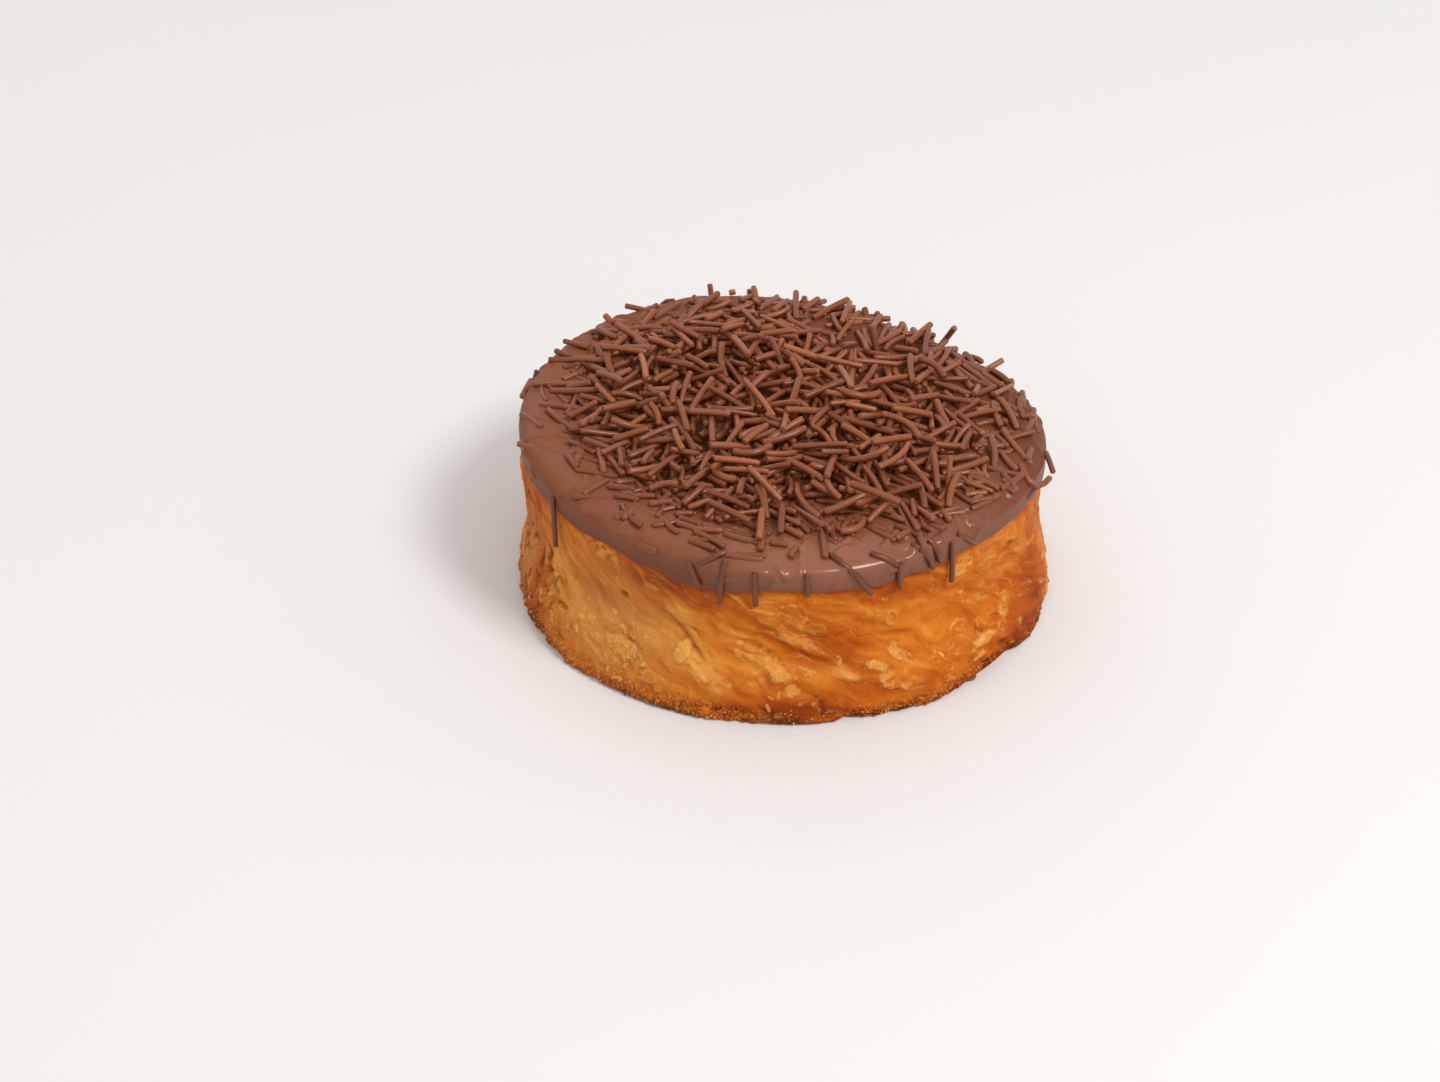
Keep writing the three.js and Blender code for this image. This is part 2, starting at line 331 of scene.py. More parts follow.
def runTree(piece, tree, values):
    # runs a geometry tree on a piece and leaves a plain mesh
    modifier = piece.modifiers.new(tree.name, "NODES")
    modifier.node_group = tree
    items = tree.interface.items_tree
    sockets = {item.name: item.identifier for item in items if item.in_out == "INPUT"}
    for name, value in values.items():
        modifier[sockets[name]] = value
    evaluated = piece.evaluated_get(bpy.context.evaluated_depsgraph_get())
    mesh = bpy.data.meshes.new_from_object(evaluated)
    piece.modifiers.clear()
    piece.data = mesh
    mesh.name = piece.name
    return piece


def newTree(name, inputs):
    tree = bpy.data.node_groups.new(name, "GeometryNodeTree")
    kinds = {"Geometry": "Geometry", **inputs}
    for title, kind in kinds.items():
        tree.interface.new_socket(title, in_out="INPUT", socket_type="NodeSocket" + kind)
    tree.interface.new_socket("Geometry", in_out="OUTPUT", socket_type="NodeSocketGeometry")
    web = Web(tree)
    source = tree.nodes.new("NodeGroupInput")
    return tree, web, {socket.name: Wire(web, socket) for socket in source.outputs if socket.name}


def closeTree(web, geometry, material):
    whole = web.node("GeometryNodeRealizeInstances", None, {"Geometry": geometry})
    sockets = {"Geometry": whole, "Material": material}
    web.node("NodeGroupOutput", None, {0: web.node("GeometryNodeSetMaterial", None, sockets)})


# Pastry
crust = {
    "columns": 900,
    "flankRows": 84,
    "lowest": 0.42,  # the flank's first ring
    "rowSpread": 1.06,  # over 1, rows lie closer together at the foot
    "foldCount": 29,
    "foldTurn": 1.15,
    "foldDepth": 0.4,
    "foldRise": 0.72,  # the share of a fold that rises, before it falls away
    "lean": 0.033,  # how far the finer folds climb, in radians for each millimetre
    "chips": [  # where the foot is notched: azimuth, half width, depth, height
        (-40, 7, 2.8, 4.5), (-52, 6, 0.9, 3.5), (-77, 3.5, 0.9, 3), (-69, 7, 0.7, 3), (-128, 26, 1, 10),
        (58, 7, 1.2, 4), (161, 5, 1, 3.5),
    ],
    "layers": 0.13,  # the thickness of a torn layer
    "layerEdges": (-0.45, 0, 0.42),
    "seen": (-168, -15),  # azimuths where the flakes and lines below lie
    "strayFlakes": 420,
    "strayLines": 110,
    "strayHoles": 26,
    "seed": 61,
    "colours": [
        (0.0, (232, 172, 84)),
        (0.22, (218, 142, 52)),
        (0.42, (200, 110, 28)),
        (0.6, (176, 82, 16)),
        (0.8, (138, 56, 12)),
        (1.0, (92, 36, 10)),
    ],
    "golden": (206, 150, 84),
    "paleFlake": (236, 174, 88),
    # painted highlight along raised edges, also the colour of light specks at the foot
    "edgeHighlightAndSpeck": (242, 190, 110),
    # painted shade in creases and hollows
    "hollowShadeColour": (98, 36, 8),
    "lightSpeck": (226, 150, 70),
    "darkSpeck": (104, 42, 12),
}

# Flakes of the outer layer: azimuth, height, half length, half height, turn, rise, paleness, a seed
# for their outline and how ragged it is.
knownFlakes = [
    (-127, 8.2, 3.5, 1.45, -4, 0.28, 0.42, 0, 0), (-116.5, 11, 4.4, 2.1, -8, 0.16, 0.2, 0, 0),
    (-112.6, 10.9, 1.3, 2, -20, 0.25, 0.62, 0, 0), (-136.5, 7.3, 3.1, 1.2, -4, 0.24, 0.2, 3, 0.08),
    (-145.5, 6.6, 2.9, 1.4, -8, 0.26, 0.22, 4, 0.1), (-153, 6.9, 2.6, 1, -15, 0.22, 0.1, 4, 0.15),
    (-119, 5.2, 1.6, 1, 0, 0.25, 0.3, 4, 0.15), (-108.5, 7.6, 1.8, 0.8, -20, 0.18, 0.55, 4, 0.2),
    (-104.5, 5.2, 1.3, 0.7, -30, 0.15, 0.3, 3, 0.2), (-89, 6.4, 1.5, 1.3, 20, 0.2, 0.6, 5, 0.2),
    (-87, 4.4, 2.2, 0.7, -10, 0.15, 0.4, 4, 0.25), (-81, 19.2, 8.2, 3.3, -3, 0.2, 0.16, 3, 0.05),
    (-95, 18.6, 3.4, 2.4, -20, 0.15, 0.1, 3, 0.1), (-70.8, 9.2, 2, 0.9, -5, 0.3, 0.85, 5, 0.2),
    (-69, 7.4, 1.3, 0.8, 10, 0.25, 0.7, 4, 0.25), (-66.5, 11.1, 1.2, 1.15, 0, 0.28, 0.75, 4, 0.2),
    (-64.6, 10, 1.5, 0.8, -20, 0.22, 0.6, 5, 0.2), (-65.2, 5.4, 1.2, 0.7, 0, 0.2, 0.5, 4, 0.25),
    (-56, 4.2, 1.6, 0.6, -10, 0.2, 0.35, 4, 0.2), (-42.3, 9.3, 1.3, 1, 10, 0.2, 0.4, 4, 0.15),
    (-43.2, 6.9, 2.7, 0.85, -3, 0.32, 0.75, 4, 0.15), (-47, 5.3, 1.5, 0.6, 10, 0.3, 0.65, 5, 0.25),
    (-33, 9.1, 2.6, 1.5, 12, 0.26, 0.5, 5, 0.3), (-30.9, 4.9, 1.2, 0.8, -20, 0.2, 0.5, 4, 0.2),
    (-22, 7.8, 1.9, 0.6, -10, 0.15, 0.25, 3, 0.15), (-36.5, 6.9, 1.5, 0.5, -20, 0.2, 0.4, 4, 0.2),
    (-45.4, 21.9, 3.1, 2.5, 0, 0.1, 0.45, 4, 0.1), (-60, 15, 2.2, 2.4, 5, 0.12, 0.15, 3, 0.1),
    (-49, 17.5, 1.6, 1.8, 0, 0.1, 0.18, 3, 0.15),
]
# Ridges and creases as lines over the flank: their points as azimuth and height, half width, rise,
# paleness, which paints a highlight along a ridge's crest, and the painted shade along a crease.
knownLines = [
    ([(-114.5, 14.6), (-111.5, 12.2), (-108, 9.6), (-104.5, 7.8), (-101.5, 6.9)], 1.3, 0.4, 0.5, 0),
    ([(-122.5, 18.2), (-118, 16.6), (-114.8, 15.3), (-111.6, 12.9), (-107.2, 10.2), (-104.8, 8.9)],
     0.42, -0.42, 0, 0.5),
    ([(-109.6, 12.9), (-107.4, 11.9), (-104.6, 10.7)], 0.45, 0.25, 0.4, 0),
    ([(-106.8, 17.2), (-104.4, 16), (-101.4, 15), (-98.6, 14.4)], 0.5, 0.3, 0.4, 0),
    ([(-101.2, 14.6), (-98, 14), (-95, 13.2), (-91.5, 11.4), (-89.4, 9.4)], 0.45, -0.42, 0, 0.55),
    ([(-100, 12.9), (-96, 11.6), (-92.5, 10), (-90, 8.4), (-88.4, 6.2)], 1.7, 0.6, 0.5, 0),
    ([(-98, 16.4), (-92, 15.6), (-88, 14.6), (-84, 13), (-81.2, 11.5)], 1.1, 0.5, 0.42, 0),
    ([(-90, 17.6), (-86, 16), (-82.6, 14.4), (-79.8, 12.4)], 0.5, -0.3, 0, 0.4),
    ([(-87.4, 12.2), (-84, 11), (-80.8, 10.4)], 0.5, -0.25, 0, 0.3),
    ([(-87.6, 10.3), (-83, 9.3), (-78.6, 8.4), (-74.6, 8.1)], 1.3, 0.42, 0.45, 0),
    ([(-103.4, 13.2), (-101, 12.2), (-98.6, 10.6)], 0.6, 0.22, 0.2, 0),
    ([(-104, 24), (-101.2, 22.9), (-98.6, 21.1), (-95, 20.8), (-91, 20.4)], 0.28, 0.2, 0.5, 0),
    ([(-92.5, 21.5), (-89.5, 22.6), (-87, 22)], 0.5, 0.15, 0.25, 0),
    ([(-86.4, 21.6), (-86, 19.4), (-87.6, 17.6)], 0.4, 0.16, 0.25, 0),
    ([(-73.6, 24), (-71, 22), (-69.6, 18.8), (-70.4, 16.4)], 0.4, 0.22, 0.3, 0),
    ([(-72.6, 16.6), (-74.6, 15.4), (-73.8, 13.8)], 0.5, 0.2, 0.12, 0),
    ([(-52.2, 10), (-50.8, 11.3), (-48.6, 11.6), (-46.2, 10.9), (-43.8, 10.3)], 0.36, 0.4, 0.5, 0),
    ([(-51.6, 9.2), (-48.8, 10.4), (-46, 9.9)], 0.7, -0.28, 0, 0.2),
    ([(-60.8, 11.2), (-57, 9.8), (-53.4, 9.4)], 0.4, -0.2, 0, 0.3),
    ([(-56.8, 9.6), (-57.4, 8.4), (-59.6, 7.6)], 0.35, 0.22, 0.35, 0),
    ([(-48.6, 6.4), (-46, 6.9), (-43, 7.5), (-40.2, 7.2)], 0.3, 0.28, 0.4, 0),
    ([(-32.4, 19.8), (-32.2, 18.2), (-32.6, 16.8)], 0.5, 0.2, 0.4, 0),
    ([(-28.4, 19.6), (-27.8, 18), (-27.2, 16.6)], 0.4, 0.18, 0.3, 0),
    ([(-24.6, 19.2), (-23.6, 17.6), (-22.6, 16.4)], 0.5, 0.18, 0.2, 0),
    ([(-27, 12.2), (-28.8, 11), (-30, 9.4)], 0.4, 0.2, 0.35, 0),
    ([(-40.6, 5.2), (-38.6, 4.3), (-36, 3.5)], 0.4, -0.35, 0, 0.6),
    ([(-130.4, 10.8), (-127, 10), (-123.4, 9.4), (-121.2, 8.7)], 0.3, -0.25, 0, 0.4),
    ([(-138.6, 8.5), (-136.6, 8.8), (-133, 8.4)], 0.35, -0.22, 0, 0.25),
    ([(-149.4, 8.5), (-146.6, 8.3), (-143.6, 7.7)], 0.35, -0.3, 0, 0.45),
    ([(-156.8, 11.1), (-153.4, 11), (-151, 10.2), (-149, 9.3)], 0.42, -0.75, 0, 0.9),
    ([(-157, 12), (-153.4, 11.9), (-150.4, 11), (-148, 9.9)], 0.5, 0.25, 0.2, 0),
    ([(-156.2, 8.9), (-153.6, 8.3)], 0.34, -0.4, 0, 0.6),
    ([(-159.4, 17.2), (-158, 14.6), (-156, 12.4), (-154.8, 10.6)], 0.42, -0.7, 0, 0.9),
    ([(-159.2, 8.1), (-156.2, 6.9)], 0.45, -0.35, 0, 0.4),
    ([(-165, 0.8), (-162.4, 2.2), (-160.2, 3.6)], 0.4, -0.5, 0, 0.6),
    ([(-148, 4.7), (-145, 4.1), (-141, 3.8)], 0.4, -0.3, 0, 0.5),
    ([(-147, 12.6), (-144.6, 12.9), (-142.6, 12.4)], 0.5, -0.15, 0, 0.14),
    ([(-144.6, 21.2), (-143.4, 22.8), (-141.6, 23.4)], 0.4, 0.18, 0.2, 0),
    ([(-131.6, 17), (-130.8, 17.6), (-128.8, 17.7)], 0.3, 0.2, 0.35, 0),
    ([(-120, 22.8), (-117, 21.6), (-114, 21.4)], 0.6, -0.15, 0, 0.25),
    ([(-100.6, 2.9), (-98.6, 1.8)], 0.5, -0.6, 0, 0.8),
    ([(-105.6, 1.4), (-104, 2.4), (-101.4, 2.7)], 0.5, -0.5, 0, 0.8),
]
# Rings where a bubble burst: azimuth, height, radius.
knownRings = [(-66.2, 17, 1.2)]
# Holes: azimuth, height, half length, half height, turn, depth.
knownHoles = [
    (-128.8, 16.5, 1.1, 0.55, -10, 0.7), (-43.8, 20.3, 0.45, 0.4, -25, 0.6),
    (-44, 19.3, 0.4, 0.35, -25, 0.5), (-43.2, 21.8, 0.5, 0.4, 30, 0.6),
    (-46.8, 20.6, 0.45, 0.35, 0, 0.35), (-46.2, 22.4, 0.35, 0.3, 0, 0.3),
    (-145.2, 20.3, 0.3, 0.3, 0, 0.4),
]
# Zones of the crust's colour: azimuth, height, half width in degrees, half height, how much darker.
bakedZones = [
    (-146, 21.5, 9, 4, -0.08), (-135, 14.6, 8, 1.6, 0.2), (-139, 9.8, 11, 2.6, -0.2),
    (-146, 13, 8, 1.6, -0.08), (-122, 10, 17, 6, -0.08), (-122, 17.4, 5, 1.1, 0.15),
    (-115, 22.2, 11, 2.4, 0.24), (-125, 20.5, 10, 2, 0.1), (-117, 13, 8, 3, -0.1),
    (-109, 9.6, 5, 2.6, -0.12), (-95, 10.4, 7, 2.6, -0.18), (-104, 18.6, 7, 2.5, 0.05),
    (-80, 16, 6, 2, 0.12), (-76, 12.4, 5, 2.4, 0.12), (-66, 22.5, 6, 2.2, 0.14), (-82, 9, 7, 1.6, -0.1),
    (-57, 14, 8, 5, -0.03), (-84, 11, 12, 5, 0.11), (-38, 8.7, 2, 0.8, 0.22), (-20, 7, 9, 6, 0.2),
    (-34, 3.6, 12, 2.6, 0.24), (-90, 3, 14, 2, 0.3), (-60, 4.6, 14, 2, 0.14), (-168, 12, 10, 30, 0.2),
    (-152, 14, 6, 5, -0.14), (-155, 5, 10, 4, 0.1), (25, 16, 30, 8, 0.1), (60, 9, 16, 5, -0.12),
    (100, 15, 26, 6, 0.06), (130, 9, 12, 4, -0.14), (165, 17, 16, 6, 0.12),
]
# The same of paler, less orange crust: azimuth, height, half width, half height, strength.
goldenZones = [
    (-131, 11, 19, 9, 1), (-167, 8, 7, 9, 1), (74, 11, 16, 6, 1), (152, 14, 22, 7, 1),
    (12, 8, 12, 4, 1),
]
# How far the seen hem lies over or under its ring: azimuths and heights.
hemShift = [
    (-180, -0.2), (-165, -0.5), (-150, -1), (-140, -1.4), (-132, -1.1), (-125, -1.7), (-119, -1.25),
    (-110, -1.3), (-104, -1.3), (-100, -0.4), (-95, 0.6), (-88, 1), (-82, 0.3), (-75, -0.4),
    (-70, -0.8), (-65, 0), (-60, 0), (-55, -0.4), (-50, 0), (-45, 0.4), (-40, 0.6), (-30, 1.4),
    (-20, 0.9), (-10, 0.3), (0, 0), (35, 0.5), (70, -0.6), (110, 0.5), (150, -0.5), (180, -0.2),
]


def hemLevel(angle):
    ring = around(form["hem"], angle)
    points = onRing(45, angle, 0)
    wobble = 0.24 * layeredNoise(points[..., 0], points[..., 1], points[..., 2], 5, 3, 91)
    return ring + wobble + np.interp(azimuthAway(angle, 0), *zip(*hemShift))


def topSag(angle, inwards):
    # the top sinks a little towards its rim, at the front and at the back on the right
    depth = sum(deep * bellAt(angle, azimuth, width) for azimuth, width, deep in form["sags"])
    return depth * (1 - smoothStep(1, form["sagWidth"], inwards))


def foldedRelief(skin):
    # broad folds of the outer layer, which rise slowly and fall away at a crease
    angle, height = skin["angle"], skin["height"]
    wander = flankNoise(skin, 16, 2, 11)
    turn = crust["foldCount"] * angle + crust["foldTurn"] * height + 1.3 * np.sin(2 * angle + 0.6)
    share = (turn / fullTurn + 0.45 * wander) % 1
    rise = crust["foldRise"]
    wave = np.where(share < rise, share / rise, (1 - share) / (1 - rise))
    wave = smoothStep(0, 1, wave) - 0.5
    strength = 0.55 + 0.45 * np.cos(angle + math.radians(105))
    broken = smoothStep(-0.5, 0.5, flankNoise(skin, 9, 1, 17))
    inside = smoothStep(1, 6, height) * (1 - smoothStep(17, 23, height))
    slow = 0.3 * np.sin(7 * angle + 0.17 * height + 0.9)
    return inside * (crust["foldDepth"] * strength * broken * wave + slow)


def bareFlank(angle, height):
    rim = around(form["foot"], angle)
    waist = around(form["waist"], angle) * bell(height - form["waistHeight"], form["waistReach"])
    wall = around(form["edge"], angle) - form["wallInset"] - waist
    upright = smoothStep(form["rimHeight"], around(form["wallHeight"], angle), height)
    radius = rim + (wall - rim) * upright
    for azimuth, width, depth, reach in crust["chips"]:
        fading = 1 - smoothStep(0.5 * reach, reach, height)
        radius = radius - depth * bellAt(angle, azimuth, width) * fading
    return radius


def flankPlace(skin, azimuth, level):
    # how far the flank's points lie from one of them, along and up the flank
    along = np.radians(azimuthAway(skin["angle"], azimuth)) * form["edge"]["mean"]
    return along, skin["height"] - level


def turnedPlace(u, v, turn):
    c, s = math.cos(math.radians(turn)), math.sin(math.radians(turn))
    return u * c + v * s, v * c - u * s


def addFlakes(skin, flakes):
    for azimuth, level, long, tall, turn, rise, paleness, seed, ragged in flakes:
        u, v = flankPlace(skin, azimuth, level)
        near = (np.abs(u) < 1.7 * long) & (np.abs(v) < 1.7 * max(long, tall))
        u, v = turnedPlace(u[near], v[near], turn)
        phase = azimuth * 1.7 + level
        for detail, share in ((1.1, 0.3 + ragged), (3.2, 0.12 + 0.4 * ragged)):
            bumps = detail / math.sqrt(long * tall)
            u = u + share * long * noiseAt(u * bumps, v * bumps, phase, seed)
            v = v + share * tall * noiseAt(u * bumps, v * bumps, phase + 9.5, seed)
        bearing = np.arctan2(v / tall, u / long)
        away = np.hypot(u / long, v / tall)
        soft = 0.35 / min(long, tall)
        inside = 1 - smoothStep(1 - soft, 1, away)
        lip = bell(away - 1 + 0.5 * soft, 0.5 * soft)
        tilt = 0.6 + 0.4 * np.cos(bearing - phase) * np.minimum(1, away)
        # a flake is paler crust, a little paler on its raised side as painted light; its lip gets a
        # painted highlight, and painted shade lies just outside it
        skin["relief"][near] += inside * rise * tilt + 0.3 * rise * lip
        skin["pale"][near] += inside * paleness * (0.75 + 0.25 * tilt)
        skin["edge"][near] += lip * min(1, 3 * rise)
        skin["dark"][near] += rise * bell(away - 1 - 0.7 * soft, 0.6 * soft)


def addLines(skin, lines):
    for points, width, rise, paleness, creaseShade in lines:
        first = points[0]
        u, v = flankPlace(skin, *first)
        along = [math.radians(azimuth - first[0]) * form["edge"]["mean"] for azimuth, _ in points]
        path = np.array([along, [level - first[1] for _, level in points]]).T
        low, high = path.min(axis=0) - 3 * width, path.max(axis=0) + 3 * width
        near = (u > low[0]) & (u < high[0]) & (v > low[1]) & (v < high[1])
        u, v = u[near], v[near]
        steps = np.hypot(*np.diff(path, axis=0).T)
        total = steps.sum()
        away, share, run = np.full(u.shape, np.inf), np.zeros(u.shape), 0
        for start, end, step in zip(path[:-1], path[1:], steps):
            across, up = end - start
            along = ((u - start[0]) * across + (v - start[1]) * up) / step**2
            along = np.clip(along, 0, 1)
            gap = np.hypot(u - start[0] - along * across, v - start[1] - along * up)
            share = np.where(gap < away, (run + along * step) / total, share)
            away = np.minimum(away, gap)
            run += step
        swell = 0.55 + 0.45 * np.sin(math.pi * np.clip(share, 0.04, 0.96)) ** 0.6
        crest = bell(away, width * swell) * (0.35 + 0.65 * np.sin(math.pi * share) ** 0.5)
        # paleness paints a highlight along a ridge's crest, and the last value paints shade along a
        # crease
        for mark, strength in (("relief", rise), ("pale", paleness), ("dark", creaseShade)):
            skin[mark][near] += strength * crest


def addHoles(skin, holes):
    for azimuth, level, long, tall, turn, depth in holes:
        u, v = turnedPlace(*flankPlace(skin, azimuth, level), turn)
        away = np.hypot(u / long, v / tall)
        hole = np.exp(-(away**2) * 1.2)
        lip = bell(away - 1.7, 0.4) * (v < 0.2 * tall)
        # painted shade inside each hole and a painted highlight on its lip
        skin["relief"] += 0.1 * lip - depth * hole
        skin["dark"] += 1.4 * depth * hole
        skin["pale"] += 0.25 * lip


def addRings(skin, rings):
    for azimuth, level, radius in rings:
        u, v = flankPlace(skin, azimuth, level)
        bearing = np.arctan2(v, u)
        uneven = 1 + 0.2 * np.sin(2 * bearing + level) + 0.1 * np.sin(5 * bearing)
        away = np.hypot(u, v) - radius * uneven
        ring = bell(away, 0.3)
        skin["relief"] += 0.22 * ring - 0.12 * (1 - smoothStep(-0.5, 0, away))
        # the raised ring is painted paler: a painted highlight
        skin["pale"] += 0.45 * ring


def strayMarks():
    # more flakes, lines and holes: all round where the known ones don't lie, and small ones among those
    draws = np.random.default_rng(crust["seed"])
    low, high = crust["seen"]
    flakes, lines, holes = [], [], []
    for _ in range(crust["strayFlakes"]):
        azimuth, level = draws.uniform(-180, 180), 1.5 + 20 * draws.random() ** 1.3
        free = not low < azimuth < high
        size = 0.7 + (2.8 if free else 0.5) * draws.random() ** 2
        tall, turn = size * draws.uniform(0.35, 0.8), draws.normal(-20, 22)
        rise, paleness = draws.uniform(0.08, 0.24), draws.uniform(-0.1, 0.5) * (1 if free else 0.6)
        seed = int(draws.integers(3, 99))
        flakes.append((azimuth, level, size, tall, turn, rise, paleness, seed, 0.16))
    for _ in range(crust["strayLines"]):
        azimuth, level = draws.uniform(-180, 180), draws.uniform(5, 21)
        free = not low < azimuth < high
        length, slant = draws.uniform(2, 12 if free else 5), draws.normal(-27, 8)
        bow = draws.normal(0, 0.08) * length
        points = []
        for share in (0, 0.33, 0.67, 1):
            u, v = turnedPlace(share * length, bow * math.sin(math.pi * share), -slant)
            degrees = math.degrees(u / form["edge"]["mean"])
            points.append((azimuth + degrees, max(4.5, level + v)))
        if draws.random() < 0.6:
            width = draws.uniform(0.4, 1.6 if free else 0.6)
            rise, paleness = draws.uniform(0.12, 0.3) * width**0.6, draws.uniform(0, 0.4)
            lines.append((points, width, rise, paleness, 0))
        else:
            width, depth = draws.uniform(0.28, 0.45), draws.uniform(0.15, 0.4)
            lines.append((points, width, -depth, 0, draws.uniform(0.1, 0.5)))
    for _ in range(crust["strayHoles"]):
        azimuth, level = draws.uniform(-180, 180), draws.uniform(6, 23)
        if not low < azimuth < high:
            long, tall = draws.uniform(0.3, 1.1), draws.uniform(0.25, 0.45)
            holes.append((azimuth, level, long, tall, draws.normal(-25, 12), 0.45))
    return flakes, lines, holes


def newSkin(angle, height):
    # the flank's grid, where patterns are read on it, and what is added to it
    radius = form["patternRadius"]
    skin = {"angle": angle, "height": height, "x": radius * np.cos(angle), "y": radius * np.sin(angle)}
    skin.update({mark: np.zeros_like(angle) for mark in ("relief", "pale", "edge", "dark")})
    return skin


def flankNoise(skin, size, layers, seed, places=("x", "y")):
    # noise over the flank: its bumps have one size, or a width and a height
    wide, tall = size if isinstance(size, tuple) else (size, size)
    x, y = (skin[place] / wide for place in places)
    return layeredNoise(x, y, skin["height"] / tall, 1, layers, seed)


def foldNoise(skin, size, layers, seed):
    # the same, drawn along the folds that climb round the flank
    return flankNoise(skin, size, layers, seed, ("foldX", "foldY"))


def addFolds(skin):
    radius = form["patternRadius"]
    aside = 2.2 * flankNoise(skin, 7, 3, 81) / radius
    climb = skin["height"] + 2.2 * flankNoise(skin, 7, 2, 85)
    across = skin["angle"] + crust["lean"] * climb + aside
    skin["foldX"], skin["foldY"] = radius * np.cos(across), radius * np.sin(across)
    skin["folds"] = foldedRelief(skin)
    skin["relief"] += skin["folds"]


def addLayers(skin):
    # torn layers, which end at a crisp edge with a painted highlight along it; higher layers are
    # painted paler
    field = foldNoise(skin, (7.5, 12), 4, 31)
    skin["tearing"] = smoothStep(-0.2, 0.5, flankNoise(skin, 11, 2, 33))
    layered = -1.5
    for level in crust["layerEdges"]:
        layered = layered + smoothStep(level - 0.07, level + 0.07, field)
        skin["edge"] += 0.5 * skin["tearing"] * bell(field - level - 0.06, 0.05)
    skin["relief"] += crust["layers"] * layered * (1 - 0.5 * skin["high"])
    skin["pale"] += 0.1 * layered


def addWrinkles(skin):
    # wrinkles along the folds, blisters, and upright wrinkles high on the right, with painted
    # highlights on the blisters' tops and the upright wrinkles' crests, and painted shade in their
    # grooves
    wrinkle = foldNoise(skin, (2.2, 4.5), 3, 41)
    ridges = 0.5 - np.abs(wrinkle)
    skin["relief"] += 0.12 * ridges * (1 - skin["low"]) * (0.5 + skin["tearing"])
    skin["blister"] = foldNoise(skin, 3.2, 3, 47)
    skin["relief"] += 0.16 * skin["blister"] * (1 - 0.6 * skin["high"])
    skin["pale"] += 0.22 * np.maximum(0, skin["blister"] - 0.15)
    right = bellAt(skin["angle"], -26, 20) * smoothStep(12, 18, skin["height"])
    upright = flankNoise(skin, (1.4, 8), 1, 43)
    skin["relief"] += 0.12 * right * upright
    skin["dark"] += 0.2 * right * np.maximum(0, -upright)
    skin["pale"] += 0.25 * right * np.maximum(0, upright)


def addLeftSide(skin):
    # a porous band under the hem where the skin is thin, a craggy lobe, and fibres with slits,
    # with painted shade in the pores, hollows and slits, and painted highlights between the pores, on
    # the crags and on the fibres
    angle, height = skin["angle"], skin["height"]
    band = bellAt(angle, -135, 9) * smoothStep(21, 22.4, height)
    pores = smoothStep(0.2, 0.5, flankNoise(skin, (1.2, 0.9), 1, 53))
    skin["relief"] -= 0.25 * band * pores
    skin["dark"] += 0.5 * band * pores
    skin["pale"] += 0.28 * band * (1 - pores)
    lobe = bellAt(angle, -162, 18) * (1 - smoothStep(11, 14, height))
    crags = foldNoise(skin, (2.6, 2), 3, 57)
    skin["relief"] += 0.36 * lobe * crags
    skin["dark"] += 1.1 * lobe * np.maximum(0, -crags - 0.1)
    skin["pale"] += 0.3 * lobe * np.maximum(0, crags - 0.2)
    left = bellAt(angle, -163, 14) * smoothStep(2, 5, height) * (1 - smoothStep(22, 25, height))
    fibres = flankNoise(skin, (1.3, 5), 3, 101)
    slits = smoothStep(0.26, 0.5, flankNoise(skin, (1.2, 4.5), 2, 105))
    skin["relief"] += left * (0.3 * fibres - 0.34 * slits)
    skin["dark"] += left * (0.6 * slits + 0.5 * np.maximum(0, -fibres - 0.1))
    skin["pale"] += 0.35 * left * np.maximum(0, fibres - 0.15)


def addFoot(skin):
    # the torn crust at the foot, smooth in two places
    smooth = bellAt(skin["angle"], -86, 9) + bellAt(skin["angle"], -25, 14)
    coarse = 1 - 0.7 * np.minimum(1, smooth)
    ragged = 2.9 + 1.2 * flankNoise(skin, 6, 2, 59)
    skin["foot"] = 1 - smoothStep(ragged - 0.8, ragged + 0.8, skin["height"])
    skin["crumbs"] = flankNoise(skin, (2.2, 2.2 / 1.2), 3, 61)
    grit = flankNoise(skin, (0.8, 0.6), 1, 67)
    lumps = 0.5 * skin["crumbs"] + 0.28 * grit
    skin["relief"] += coarse * (0.3 * skin["low"] + 0.7 * skin["foot"]) * lumps
    light = np.maximum(0, flankNoise(skin, (0.9, 0.8), 1, 71) - 0.3)
    skin["edge"] += 0.6 * coarse * skin["foot"] * light
    flaky = smoothStep(-0.1, 0.6, flankNoise(skin, 6, 2, 87)) * (1 - smoothStep(7, 12, skin["height"]))
    skin["speckled"] = np.maximum(skin["foot"] * coarse, 0.3 * flaky)


def zoneSum(skin, zones):
    total = 0
    for azimuth, level, wide, tall, strength in zones:
        upwards = bell(skin["height"] - level, tall)
        total = total + strength * bellAt(skin["angle"], azimuth, wide) * upwards
    return total


def toasting(skin):
    # how dark the crust is baked, from 0 to 1,
    # with painted light on the crests of folds and blisters and painted shade under the icing's hem
    height = skin["height"]
    streaks, blotches = foldNoise(skin, (4, 11), 3, 75), foldNoise(skin, (4.5, 3.75), 4, 77)
    toast = 0.47 + 0.07 * flankNoise(skin, 10, 3, 73) + 0.06 * streaks + 0.1 * blotches
    # lighter on the crests of folds and blisters, darker in their troughs: painted light and shade
    toast = toast - 0.12 * skin["folds"] - 0.12 * skin["blister"] + zoneSum(skin, bakedZones)
    toast = toast + 0.1 * skin["foot"] * (1 + 1.5 * skin["crumbs"])
    burnt = 0.15 + 0.24 * smoothStep(-0.3, 0.5, flankNoise(skin, 7, 2, 79))
    toast = toast + burnt * (1 - smoothStep(0.3, 1.9, height - 0.8 * skin["crumbs"]))
    # painted shade under the icing's hem, strongest at the front
    shadeUnderHem = 1 - smoothStep(0.2, 1.6, hemLevel(skin["angle"]) - height)
    return toast + 0.07 * shadeUnderHem * (1 + np.cos(skin["angle"] + math.radians(100)))


